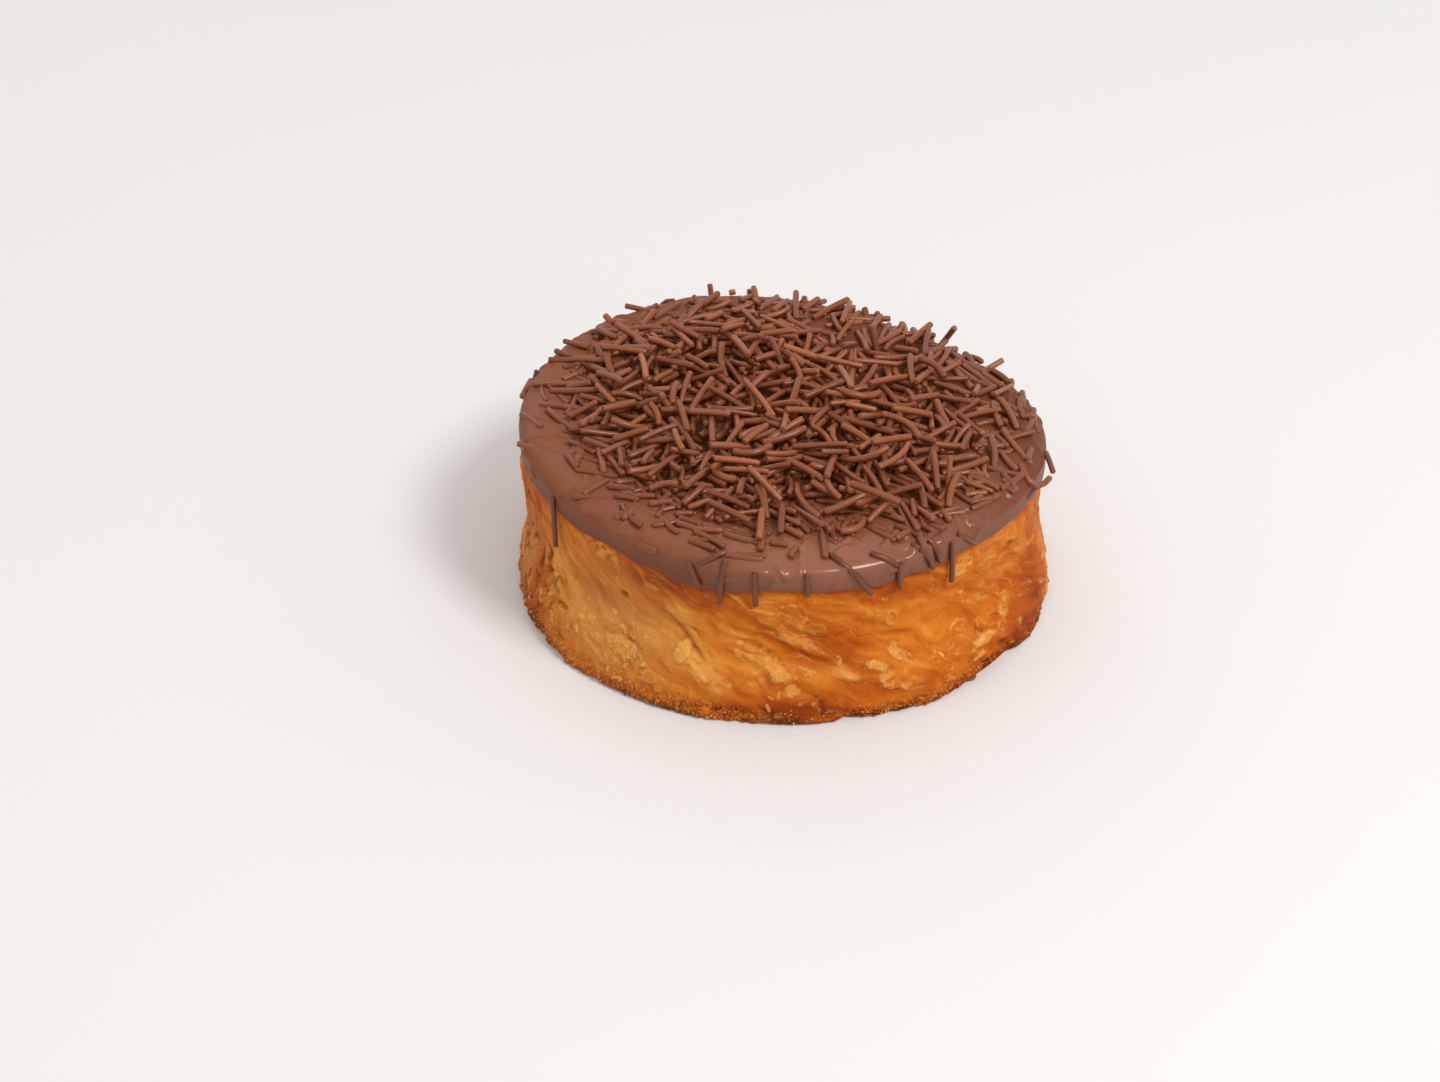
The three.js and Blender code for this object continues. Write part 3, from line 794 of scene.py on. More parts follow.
def flankSurface(angle, height):
    # the flank's radius, and marks for its material
    skin = newSkin(angle, height)
    skin["low"] = 1 - smoothStep(2, 5, height)
    skin["high"] = smoothStep(19, 24, height)
    addFolds(skin)
    addLayers(skin)
    addWrinkles(skin)
    flakes, lines, holes = strayMarks()
    addFlakes(skin, flakes + knownFlakes)
    addLines(skin, lines + knownLines)
    addHoles(skin, holes + knownHoles)
    addRings(skin, knownRings)
    addLeftSide(skin)
    addFoot(skin)
    # Marks for the material: paler crust together with painted highlights on crests and rims, painted
    # highlights along raised edges together with light specks at the foot, and painted shade in hollows
    # and creases.
    marks = {
        "toast": np.clip(toasting(skin), 0, 1),
        "gold": np.clip(zoneSum(skin, goldenZones), 0, 1),
        "pale": np.clip(skin["pale"], -0.5, 1),
        "edge": np.clip(skin["edge"], 0, 1),
        "dark": np.clip(skin["dark"], 0, 1),
        "foot": skin["speckled"],
        "foldX": skin["foldX"] * millimetre,
        "foldY": skin["foldY"] * millimetre,
    }
    return bareFlank(angle, height) + skin["relief"], marks


def crustMaterial():
    material, web = newMaterial("goldenCrust")
    place = web.place()
    across = {0: web.attribute("foldX"), 1: web.attribute("foldY"), 2: web.along("Z") * 0.6}
    folded = web.node("ShaderNodeCombineXYZ", None, across)
    fine = web.grain(place, 900, 4, 0.6)
    broad = web.grain(place, 160, 5, 0.6, 0.4)
    speck = web.grain(place, 1900, 2, 0.5)
    torn = web.grain(folded, 480, 5, 0.62, 0.5)
    gold, foot = web.attribute("gold"), web.attribute("foot")

    # thin plates along the folds, each with its own tone, some with a painted highlight along the rim,
    # and fine creases with painted shade in them
    bent = web.warped(web.warped(folded, 180, 0.006), 900, 0.0012)
    plate = web.node("ShaderNodeSeparateColor", None, {0: web.cells(bent, 260, "F1", "Color")})
    border = web.cells(bent, 260, "DISTANCE_TO_EDGE", "Distance")
    some = web.ranged(web.grain(place, 210, 2) + gold * 0.05, 0.5, 0.62)
    rim = web.ranged(border, 0.055, 0.0) * some
    wavy = web.grain(web.warped(folded, 300, 0.004), 210, 2)
    crease = web.ranged(web.maths("ABSOLUTE", wavy - 0.5, 0.0), 0.014, 0.0)
    crease = crease * web.ranged(web.grain(place, 130, 2), 0.52, 0.64)

    toast = web.attribute("toast") + (broad - 0.5) * 0.2 + (fine - 0.5) * 0.1
    toast = toast + (plate - 0.5) * (gold * 0.1 + 0.08) + (torn - 0.5) * 0.14
    # paler crust together with painted highlights on crests and ridges
    mark = web.attribute("pale")
    pale = web.ranged(mark + (fine - 0.5) * 0.4, 0.05, 1.05)
    island = web.ranged(mark + (torn - 0.5) * 1.3 + (fine - 0.5) * 0.5, 0.3, 0.4)
    flake = pale * 0.3 + island * (web.ranged(speck, 0.36, 0.5) * 0.12 + 0.14)
    # painted highlights along raised edges, and light specks at the foot
    edge = web.ranged(web.attribute("edge") + (fine - 0.5) * 0.3, 0.3, 1.0)
    # painted shade in creases, hollows, holes, slits and pores, and just outside lifted flakes
    dark = web.ranged(web.attribute("dark") + (fine - 0.5) * 0.2, 0.1, 1.0)
    colour = web.mixed(gold * 0.5, web.ramp(crust["colours"], toast), crust["golden"])
    colour = web.mixed(flake, colour, crust["paleFlake"])
    # painted highlights on edges and plate rims, then painted shade in hollows and creases
    colour = web.mixed(edge * 0.3 + rim * (gold * 0.16 + 0.22), colour, crust["edgeHighlightAndSpeck"])
    colour = web.mixed(dark * 0.72 + crease * 0.18, colour, crust["hollowShadeColour"])
    colour = web.mixed(web.ranged(speck, 0.54, 0.66) * foot * 0.5, colour, crust["lightSpeck"])
    colour = web.mixed(web.ranged(speck, 0.46, 0.36) * foot * 0.6, colour, crust["darkSpeck"])
    roughness = 0.5 + (broad - 0.5) * 0.3 + foot * 0.3 + pale * 0.16
    height = fine * 0.5 + speck * 0.3 + plate * 0.35 + rim * 0.3
    height = height - crease * 0.4 + island * 0.4 + torn * 0.7
    sockets = {"Normal": web.bumped(0.6, 0.0003, height), "Specular IOR Level": 0.06}
    sockets.update({"Subsurface Weight": 0.14, "Subsurface Radius": (1.0, 0.42, 0.14)})
    sockets["Subsurface Scale"] = 0.0012
    closeMaterial(web, colour, roughness, sockets)
    return material


def makePastry():
    turn = np.arange(crust["columns"]) / crust["columns"] * fullTurn
    reach = form["pastryTop"] - 0.6 - crust["lowest"]
    rows = crust["lowest"] + reach * np.linspace(0, 1, crust["flankRows"]) ** crust["rowSpread"]
    angle, height = np.meshgrid(turn, rows)
    radius, marks = flankSurface(angle, height)
    flank = onRing(radius, angle, height - topSag(angle, 0) * smoothStep(23, 27, height))
    under = []
    for share in (0.25, 0.5, 0.75, 0.93, 1):
        under.append(onRing(share * (around(form["foot"], turn) - form["footInset"]), turn, 0))
    over = []
    for share in (0.97, 0.6, 0.3):
        top = form["pastryTop"] - topSag(turn, (1 - share) * 45)
        over.append(onRing(share * radius[-1], turn, top))
    for mark, values in marks.items():
        below = np.repeat(values[:1], len(under), axis=0)
        if mark == "toast":
            below = below * 0 + 0.72
        above = np.repeat(values[-1:], len(over), axis=0)
        marks[mark] = np.concatenate([below, values, above])
    rings = lifted(np.concatenate([under, flank, over]))
    return ringPiece("bakedPastry", rings, marks, crustMaterial())


pastry = makePastry()
print("pastry:", len(pastry.data.polygons), "faces")

# Crumbs and shards: loose bits of the crust that cling to the flank. Sizes are in metres here.
bits = {
    "seed": 9,
    "columns": 480,
    "rows": 44,
    "heights": (0.35, 21),
    "colours": [(0.0, (112, 50, 14)), (0.45, (190, 106, 34)), (1.0, (232, 168, 88))],
    "crumbs": {
        "density": 5e6,  # for each square metre, where the mark is 1
        "length": (0.00022, 0.00055),
        "shape": ((0.6, 0.6, 0.5), (1.0, 1.0, 0.9)),  # the least and most of each axis, at length 1
        "lean": math.pi,
        "darkest": 0.0,
    },
    "shards": {
        "density": 5e5,
        "length": (0.0008, 0.0024),
        "shape": ((0.8, 0.2, 0.08), (1.0, 0.45, 0.12)),
        "lean": 0.12,
        "darkest": 0.5,
    },
}


def bitMaterial():
    material, web = newMaterial("crustBits")
    fine = web.grain(web.place(), 1600, 3, 0.6)
    colour = web.ramp(bits["colours"], web.attribute("tone") + (fine - 0.5) * 0.4)
    sockets = {"Normal": web.bumped(0.4, 0.0002, fine), "Specular IOR Level": 0.15}
    closeMaterial(web, colour, 0.6, sockets)
    return material


def bitTree(mark, kind):
    # small lumps or thin shards, scattered where the mark is
    inputs = {"Density": "Float", "Shortest": "Float", "Longest": "Float", "Seed": "Int"}
    tree, web, inside = newTree(mark + "Bits", {**inputs, "Material": "Material"})

    def drawn(data, low, high, seed):
        # a random value for each bit
        ends = ("Min", "Max") if data == "FLOAT_VECTOR" else ("Min_001", "Max_001")
        sockets = {ends[0]: low, ends[1]: high, "Seed": seed}
        output = 0 if data == "FLOAT_VECTOR" else 1
        return web.node("FunctionNodeRandomValue", {"data_type": data}, sockets, output)

    share = web.node("GeometryNodeInputNamedAttribute", {"data_type": "FLOAT"}, {"Name": mark})
    sockets = {"Mesh": inside["Geometry"], "Density": share * inside["Density"], "Seed": inside["Seed"]}
    settings = {"distribute_method": "RANDOM"}
    spread = web.node("GeometryNodeDistributePointsOnFaces", settings, sockets)
    upright = Wire(web, spread.socket.node.outputs["Rotation"])
    lump = web.node("GeometryNodeMeshIcoSphere", None, {"Radius": 0.5, "Subdivisions": 1})
    lean = kind["lean"]
    turn = drawn("FLOAT_VECTOR", (-lean, -lean, 0.0), (lean, lean, fullTurn), inside["Seed"])
    settings = {"rotation_space": "LOCAL"}
    turned = web.node("FunctionNodeRotateRotation", settings, {0: upright, 1: turn})
    length = drawn("FLOAT", inside["Shortest"], inside["Longest"], 8)
    sockets = {0: drawn("FLOAT_VECTOR", *kind["shape"], 5), "Scale": length}
    size = web.node("ShaderNodeVectorMath", {"operation": "SCALE"}, sockets)
    sockets = {"Points": spread, "Instance": lump, "Rotation": turned, "Scale": size}
    placed = web.node("GeometryNodeInstanceOnPoints", None, sockets)
    tone = drawn("FLOAT", kind["darkest"], 1.0, 3)
    settings = {"data_type": "FLOAT", "domain": "INSTANCE"}
    sockets = {"Geometry": placed, "Name": "tone", "Value": tone}
    toned = web.node("GeometryNodeStoreNamedAttribute", settings, sockets)
    closeTree(web, toned, inside["Material"])
    return tree


def crumbly(skin, marks):
    lobe = bellAt(skin["angle"], -162, 16) * (1 - smoothStep(7, 13, skin["height"]))
    ragged = smoothStep(-0.3, 0.4, flankNoise(skin, 7, 2, 99))
    return ragged * marks["foot"] * (1 - smoothStep(1.5, 4.5, skin["height"])) + 0.12 * lobe


def flaking(skin, marks):
    height = skin["height"]
    patches = smoothStep(0, 0.5, flankNoise(skin, 8, 2, 97))
    left = 0.15 + bellAt(skin["angle"], -138, 22)
    return left * patches * (1 - smoothStep(8, 15, height)) * smoothStep(1.5, 3, height)


def makeBits(name, kind, thickness, material):
    columns, rows = bits["columns"], bits["rows"]
    turn = np.arange(columns) / columns * fullTurn
    angle, height = np.meshgrid(turn, np.linspace(*bits["heights"], rows))
    radius, marks = flankSurface(angle, height)
    points = lifted(onRing(radius, angle, height)).reshape(-1, 3)
    faces = [face for face in ringFaces(rows, columns) if len(face) == 4]
    faces = [tuple(corner - 1 for corner in face) for face in faces]
    mark = thickness.__name__
    piece = newPiece(name, points, faces, None, {mark: thickness(newSkin(angle, height), marks)})
    values = {"Density": kind["density"], "Shortest": kind["length"][0], "Longest": kind["length"][1]}
    values.update({"Seed": bits["seed"], "Material": material})
    return runTree(piece, bitTree(mark, kind), values)


crustBits = bitMaterial()
crumbs = makeBits("crustCrumbs", bits["crumbs"], crumbly, crustBits)
shards = makeBits("crustShards", bits["shards"], flaking, crustBits)
print("bits:", len(crumbs.data.polygons), "faces of crumbs,", len(shards.data.polygons), "of shards")

# Sprinkles
strewn = {
    "seed": 4127,
    "count": 222,  # long ones, each in the roomiest of a few places
    "tries": 40,
    "shortest": 6.6,
    "longest": 10.4,
    "heap": (0.8, 5.8, 36, 5),  # the long ones' heap: its centre's x and y, radius, and half its fade
    "fillHeap": (3, 5.5, 36.5, 9),  # the same of the shorter ones that fill it
    "bare": (-21, 31, 9),  # a barer patch of it: x, y and radius
    "strays": 0.16,
    "overhang": 1.2,
    "radius": 0.59,
    "spread": (0.84, 1.12),  # the thinnest and the thickest, as shares of that radius
    "sunk": 0.35,
    "pressed": 0.12,
    "cell": 0.25,
    "fill": 520,
    "fillSeed": 23,
    "fillLengths": (4.2, 9.6),
    "lowest": 1.3,  # how high the fill may lie at the rim, and how it climbs inwards
    "climb": 0.13,
    "tallest": 4.4,
    "steepest": 0.55,
    "steep": 50,  # ones that stand up out of the heap
    "steepReach": 30,
    "steepLengths": (3, 5.5),
    "margin": 230,  # half sunk ones round the heap
    "marginReach": (24, 46),
    "marginLengths": (2.5, 8),
    "ghosts": 90,  # ones that the icing has coated
    "sides": 8,
    "toneSeed": 5,
    "colours": [(0.0, (112, 58, 34)), (0.5, (140, 76, 45)), (1.0, (170, 100, 63))],
    "wetColour": (114, 62, 37),
    "hangingColour": (102, 53, 31),
    "hangingWetness": 1.15,
}

# Sprinkles on top of the heap: both ends and how much they bend.
topRods = [
    (3.5, 0.5, 10.5, 4.8, 0.1), (0, -5.5, 6.5, -2, 0.1), (6, 13.5, 14.4, 13, -0.1),
    (12.5, 14.5, 21, 15.5, 0.1), (15, 4, 22.5, 11.5, 0.2), (10, 11, 11.8, 3, 0.2),
    (22, 0.8, 27.5, 6, 0.1), (23.2, 18.4, 23.2, 8, -0.2), (23.5, 7, 26.5, 14, 0.1),
    (10.5, -2.5, 16, -2.5, 0.1), (18.5, -3, 26, -1, 0.1), (9.6, 0.6, 16.8, 2.4, -1.9),
    (14.5, -15.5, 21.5, -11, 0.1), (21, -13, 15.4, -21.4, 0.7), (2, 22, 7.5, 27.5, 0.1),
    (10.7, 15.5, 13.5, 22.5, 0.1), (16.5, 17, 22.5, 19, -0.3), (15, 26.5, 19, 21.5, 0.1),
    (10.4, -26.6, 18.6, -29.8, 0.2), (-7.4, 32.4, -4, 24, 0.1), (-9, 19, -4.5, 23.5, 0.1),
    (-9, 18, -6.2, 11, 0.1), (-11, 20, -7, 26.5, 0.1), (-20.5, 24, -15, 21, -0.2),
    (-25.5, 13, -24.3, 4.4, 0.2), (-24, 2.5, -20, -2, 0.2), (-22, 17.5, -20, 10.5, 0.1),
    (-7, 4.4, -2, -5.6, 0.2), (-18.5, -3, -16.8, -11.5, 0.1), (-25, -14.5, -18.5, -10.5, 0.3),
    (-12.3, -20, -4.5, -20, 0.1), (-10.5, -22, -3, -22, 0.1), (-7, -25.5, -0.6, -29.8, 0.1),
    (-19, -13, -17.5, -18.5, -0.2), (-4.3, -32, -4.8, -38.4, 0.1), (-33, 8, -28.5, 2, 0.3),
    (-32.5, 14.8, -24.4, 14.5, 0.1), (29, 11.6, 24.4, 15.4, -1.6), (20.4, -17.2, 24.4, -24.4, 0.2),
    (28, -16.5, 26.4, -23, 0.8), (25, -15.4, 25.4, -23.2, 0.1),
]
# Sprinkles that stick in the icing round the heap: both ends, each with its height over the icing,
# and how much they bend.
rimRods = [
    (-46.6, 8.4, 0.1, -45.2, 13.4, 0.7, 0.1), (-45, 8.6, 0.62, -41.4, 9.4, 0.42, 0.1),
    (-41.4, 8.2, 0.9, -33, 8, 0.9, 0.1), (-46.2, -9.8, 0.5, -40.6, -10.6, -0.5, 0.1),
    (-32.9, 34.2, 1.1, -31.4, 32.8, 0.2, 0.1), (-31.6, 31.6, 0.4, -28.8, 30.4, 0.8, 0.1),
    (-29.2, 38.2, 0.9, -25, 37.4, 0.4, 0.1), (-13.3, 43.7, 2.6, -12.9, 42.2, -0.2, 0.1),
    (-6.2, 45.2, 0.9, -4.2, 45.4, 0.9, 0.1), (-9.6, 44, 0.7, -8.4, 44.2, 0.9, 0.1),
    (-5, 44.6, 1.6, -4.4, 41, 0.3, 0.1), (-35, 28, 0.3, -32, 26.2, 0.5, 0.1),
    (-40, 23.8, 0.62, -35.4, 21.6, 0.62, 0.1), (-33, 21.4, 0.3, -29.4, 27, 0.5, 0.1),
    (-30, 22, 0.6, -26.5, 26, 0.6, 0.1), (-25.5, 27.5, 0.5, -22.5, 22, 0.7, 0.1),
    (-43, 2.5, 0.12, -35, 0.2, 0.52, 0.1), (-33.5, 0, 0.8, -27, -5.5, 0.8, 0.1),
    (-41.5, 0.5, 0.42, -35.5, -7, 0.32, -0.3), (-36.5, -2, 0.4, -32.5, -8.5, 0.5, 0.2),
    (-26, -4.8, 1.2, -25.8, -14.4, 0.9, 0.1), (-32.5, -11, 0.62, -30.8, -19.5, 0.52, 0.2),
    (-31.5, -13, 0.7, -27.5, -20, 0.6, 0.2), (-37.2, -14, 0.32, -35.5, -17.6, 0.32, 0.1),
    (-35, -14, 0.42, -36, -16, 0.12, 0.1), (-34, -25, 0.02, -30, -21, 0.12, 0.2),
    (-30, -23, 0.32, -25.5, -24, 0.42, 0.1), (-26, -25.8, 0.42, -22, -25.8, 0.42, 0.1),
    (-22.8, -15.5, 0.7, -23, -23, 0.5, 0.2), (-23, -28, 0.32, -19, -27.3, 0.52, 0.1),
    (-18.5, -25.4, 0.52, -15.5, -26, 0.52, 0.1), (-14.5, -23.5, 0.9, -12.5, -32.2, 0.3, 0.1),
    (-24.6, -36.5, 0.12, -21.5, -38.3, 0.12, 0.1), (-28.6, -31.4, -0.08, -25.6, -30.4, 0.32, 0.1),
    (-18, -31.6, 0.32, -14.2, -33.6, 0.32, 0.1), (-15.4, -35.4, 0.52, -10.4, -39.4, 0.52, 0.3),
    (-16.2, -37.4, 0.22, -12, -40, 0.52, 0.2), (2.9, 32, 1.6, 3, 40.6, 2.8, 0.1),
    (4.2, 38.2, 0.5, 7.4, 41.4, 1.4, 0.1), (4.6, 42, 1.4, 4.7, 40, 0.3, 0.1),
    (11.6, 41.2, 0.7, 14.4, 41.4, 0.9, 0.1), (11.3, 31.4, 1.9, 13.2, 39, 2.2, 0.1),
    (16, 40.2, 1.3, 16.2, 37.8, 0.3, 0.1), (17.2, 37.4, 0.6, 20.8, 37.6, 0.9, 0.1),
    (18.3, 39.2, 1.3, 18.6, 36.8, 0.3, 0.1), (22.9, 35.2, 1.4, 22.4, 33.8, 0.4, 0.1),
    (23.5, 26, 1.6, 28, 32.4, 2.4, 0.1), (26, 21, 1.8, 27.4, 29.8, 2.2, 0.1),
    (31, 30.6, 1.1, 29.4, 29, 0.3, 0.1), (34, 26.4, 0.3, 37, 24.2, 0.5, 1.2),
    (40.6, 22.4, 2, 36.6, 20.2, 0.5, 0.1), (43.2, 12.6, 0.52, 42.8, 7.5, 0.32, 0.1),
    (39.5, 6.5, 0.8, 34, 3.5, 0.7, 0.1), (37.5, 10.5, 0.5, 41.3, 3, 0.4, 0.1),
    (42, 3.8, 0.32, 44.6, 4, 0.52, 0.1), (45.8, -4.6, 0.52, 46.6, -10, -0.08, 0.1),
    (37, -16.5, 0.12, 39.2, -19.4, 0.22, 0.1), (30.5, -10.5, 0.5, 33.5, -16.8, 0.4, 0.1),
    (34.6, -12, 0.42, 34.4, -17.4, 0.42, -0.8), (33.2, -6, 0.6, 37, -7, 0.6, 0.1),
    (30.2, -22.2, 0.32, 34, -21.4, 0.42, 0.3), (31, -24, 0.22, 33, -22.2, 0.42, 0.1),
    (5.4, -32.4, 0.7, 6, -41, 0.3, 0.1), (21.4, -30, 0.5, 22.4, -37, 0.2, -0.3),
    (38.4, -1, 0.32, 38.6, -3.6, 0.32, 0.8), (12.6, -31.4, 0.52, 16.2, -33.4, 0.52, -0.2),
    (-8.6, -40.6, 0.02, -3.6, -40.8, 0.02, 0.1), (-18.4, -33.3, 0.52, -15.3, -34.6, 0.42, 0.2),
    (-15.7, -34.9, 0.57, -10.7, -35, 0.47, -0.1), (-7.4, -32.6, 0.52, -4.6, -34.5, 0.42, 0.2),
    (-4.1, -32.8, 0.52, -4.6, -39.9, 0.42, 0.2), (-3, -37.6, 0.37, -0.1, -38.1, 0.27, 0.2),
    (-1.1, -33.7, 0.57, 2.4, -36.1, 0.47, 0.3), (-6.8, -27.3, 0.5, -0.4, -31.8, 0.4, 0.2),
    (2.6, -27, 0.62, 3.9, -32.9, 0.52, 0.4), (9, -33.8, 0.52, 10.8, -29.9, 0.42, 0.2),
    (7.8, -33.1, 0.47, 11, -35.1, 0.37, -0.4), (-27.9, -30.7, 0.42, -26, -31.7, 0.32, 0.2),
    (-27, -32.2, 0.47, -25.7, -30.1, 0.37, 0.2), (0.4, -41.3, 0.42, 1.5, -38.6, 0.42, 0.6),
    (-18.6, -30.8, 0.42, -15.7, -30.3, 0.32, 0.2), (10.1, -27.2, 0.6, 15.9, -28.9, 0.5, 0.1),
    (13, -27.7, 0.6, 19.5, -30.7, 0.5, 0.3), (21.9, -26, 0.62, 22.7, -32.2, 0.52, -0.2),
    (17.8, -31.8, 0.52, 22.2, -34.2, 0.42, 0.2), (24.5, -25, 0.52, 27.1, -29.7, 0.42, 0.2),
    (31.3, -24.1, 0.37, 35.2, -22.3, 0.27, 0.2), (-21.3, -23.2, 0.57, -19.5, -26.1, 0.47, 0.2),
    (-12, -27, 0.42, -7.4, -25.8, 0.32, 0.2),
]
# One that is bent double over the rim: points of its middle line, each with its height over the icing.
hookRod = [
    (40.6, -12, 0.2), (40.8, -13.8, 0.3), (41.7, -15.3, 0.4), (43.2, -15.6, 0.5), (44.6, -14.6, 0.6),
    (45.6, -13.2, 0.8),
]
# Sprinkles that slid over the edge: three points of each, as azimuth, distance past the edge, height.
hanging = [
    [(-151, 0.3, 27.3), (-150.4, 0.4, 22.6), (-149.8, 0.6, 17.9)],
    [(-111.6, 0.1, 28.7), (-110.4, 0.35, 26.6), (-109, 0.4, 24.2)],
    [(-104, -2.6, 30.2), (-106.6, -1, 29.7), (-109.4, 0.1, 28.6)],
    [(-103.6, -0.9, 30), (-104, 0.35, 27.4), (-104.6, 0.5, 21.8)],
    [(-97.2, 0.1, 28.7), (-97, 0.35, 26), (-96.8, 0.45, 22.4)],
    [(-86.2, 0.1, 28.9), (-86, 0.35, 27), (-86, 0.35, 24.6)],
    [(-80.5, -3.4, 30), (-76.6, 0, 28.7), (-71.8, 0.5, 23.6)],
    [(-71, -2.2, 29.8), (-68.5, -0.8, 29.3), (-65.4, 0.3, 28)],
    [(-65, 0.4, 28.2), (-65, 0.4, 26), (-64.8, 0.45, 23.2)],
    [(-60.6, -1.6, 29.7), (-58.2, 0.15, 28.4), (-56, 0.35, 24.9)],
    [(-57, -4.2, 30.2), (-55.6, -0.4, 29.1), (-54, 0.35, 25.5)],
    [(-50.6, 0.15, 28.7), (-50.4, 0.4, 24.6), (-50.4, 0.5, 20.4)],
    [(-48.2, -0.4, 29.2), (-45.6, 0, 27.4), (-42.6, 0.1, 25.4)],
    [(22, -1.4, 29.2), (23.5, 0.2, 28), (25, 0.35, 24.2)],
    [(72, 0.1, 28.4), (71, 0.35, 26), (70.4, 0.4, 22.6)],
    [(116, -1.8, 29.7), (118, 0.1, 28.2), (120, 0.35, 24)],
    [(160, 0.1, 28.8), (161, 0.3, 27), (163, 0.4, 24.4)],
]


def seededDraws(state):
    multiplier, prime = 16807, 2**31 - 1
    while True:
        state = (state * multiplier) % prime
        yield state / prime


def ringDraw(random, nearest, furthest):
    # a place somewhere in a ring round the middle
    bearing, away = random.uniform(0, fullTurn), math.sqrt(random.uniform(nearest**2, furthest**2))
    return away * math.cos(bearing), away * math.sin(bearing)


def pastEdge(x, y):
    return np.hypot(x, y) - around(form["edge"], np.arctan2(y, x))


def rollSize(angle):
    # how wide the icing's rounded edge is and how far it drops: tight at the front, softer elsewhere
    azimuth, width, _ = form["sags"][0]
    soft = 1 - bellAt(angle, azimuth, width)
    return [least + more * soft for least, more in zip(form["roll"], form["softerRoll"])]


def heapShare(heap, x, y):
    centreX, centreY, radius, fade = strewn[heap]
    return 1 - smoothStep(radius - fade, radius + fade, np.hypot(x - centreX, y - centreY))


def inFill(x, y):
    bareX, bareY, radius = strewn["bare"]
    bare = bell(np.hypot(x - bareX, y - bareY), radius)
    return (1 - 0.9 * bare) * heapShare("fillHeap", x, y)


def dampness(place):
    # the sprinkles nearer the front and the rim of the heap have taken more chocolate
    return 0.5 * float(smoothStep(4, 34, math.hypot(place["x"] - 4, place["y"] - 14)))


def endShares(length, radius):
    # where a sprinkle's points lie along it, from -1 to 1, close together where its ends are rounded
    half = length / 2
    ends = np.array([half, half - 0.12 * radius, half - 0.5 * radius]) / half
    return np.concatenate([-ends, [-0.45, 0, 0.45], ends[::-1]])


endThickness = np.array([0.6, 0.88, 1, 1, 1, 1, 1, 0.88, 0.6])


def newPlace(x, y, heading, length, radius=None):
    shares = np.array([-0.5, -0.25, 0, 0.25, 0.5]) * length
    place = {"x": x, "y": y, "heading": heading, "length": length, "radius": radius}
    place["points"] = x + shares * math.cos(heading), y + shares * math.sin(heading)
    return place


def placeAround(away, bearing, heading, length, radius):
    centreX, centreY = strewn["fillHeap"][:2]
    x, y = centreX + away * math.cos(bearing), centreY + away * math.sin(bearing)
    return newPlace(x, y, heading, length, radius)


def placeBetween(x1, y1, x2, y2, radius):
    heading = math.atan2(y2 - y1, x2 - x1)
    return newPlace((x1 + x2) / 2, (y1 + y2) / 2, heading, math.hypot(x2 - x1, y2 - y1), radius)


def centreLine(place, height, slope, bend):
    # the points of a sprinkle's middle
    half = place["length"] / 2 / math.hypot(1, slope)
    shares = endShares(place["length"], place["radius"])
    along = shares * half
    sideways = bend * (1 - shares**2) * half / 4
    c, s = math.cos(place["heading"]), math.sin(place["heading"])
    x = place["x"] + along * c - sideways * s
    y = place["y"] + along * s + sideways * c
    return np.stack([x, y, height + along * slope], axis=-1)


def landed(draws):
    reach = form["edge"]["mean"]
    while True:
        x, y = (2 * next(draws) - 1) * reach, (2 * next(draws) - 1) * reach
        heading = next(draws) * math.pi
        length = strewn["shortest"] + next(draws) * (strewn["longest"] - strewn["shortest"])
        place = newPlace(x, y, heading, length)
        share = strewn["strays"] + (1 - strewn["strays"]) * heapShare("heap", x, y)
        if next(draws) < share and pastEdge(*place["points"]).max() < strewn["overhang"]:
            return place


def strewnPlaces():
    # of a few places each sprinkle takes the one with the most room
    draws = seededDraws(strewn["seed"])
    places = []
    taken = np.zeros((2, 0))
    for _ in range(strewn["count"]):
        best, bestRoom = None, -1
        for _ in range(strewn["tries"]):
            spot = landed(draws)
            gaps = np.array(spot["points"])[:, :, None] - taken[:, None]
            room = np.hypot(*gaps).min() if places else np.inf
            if room > bestRoom:
                best, bestRoom = spot, room
        places.append(best)
        taken = np.concatenate([taken, best["points"]], axis=1)
    return places


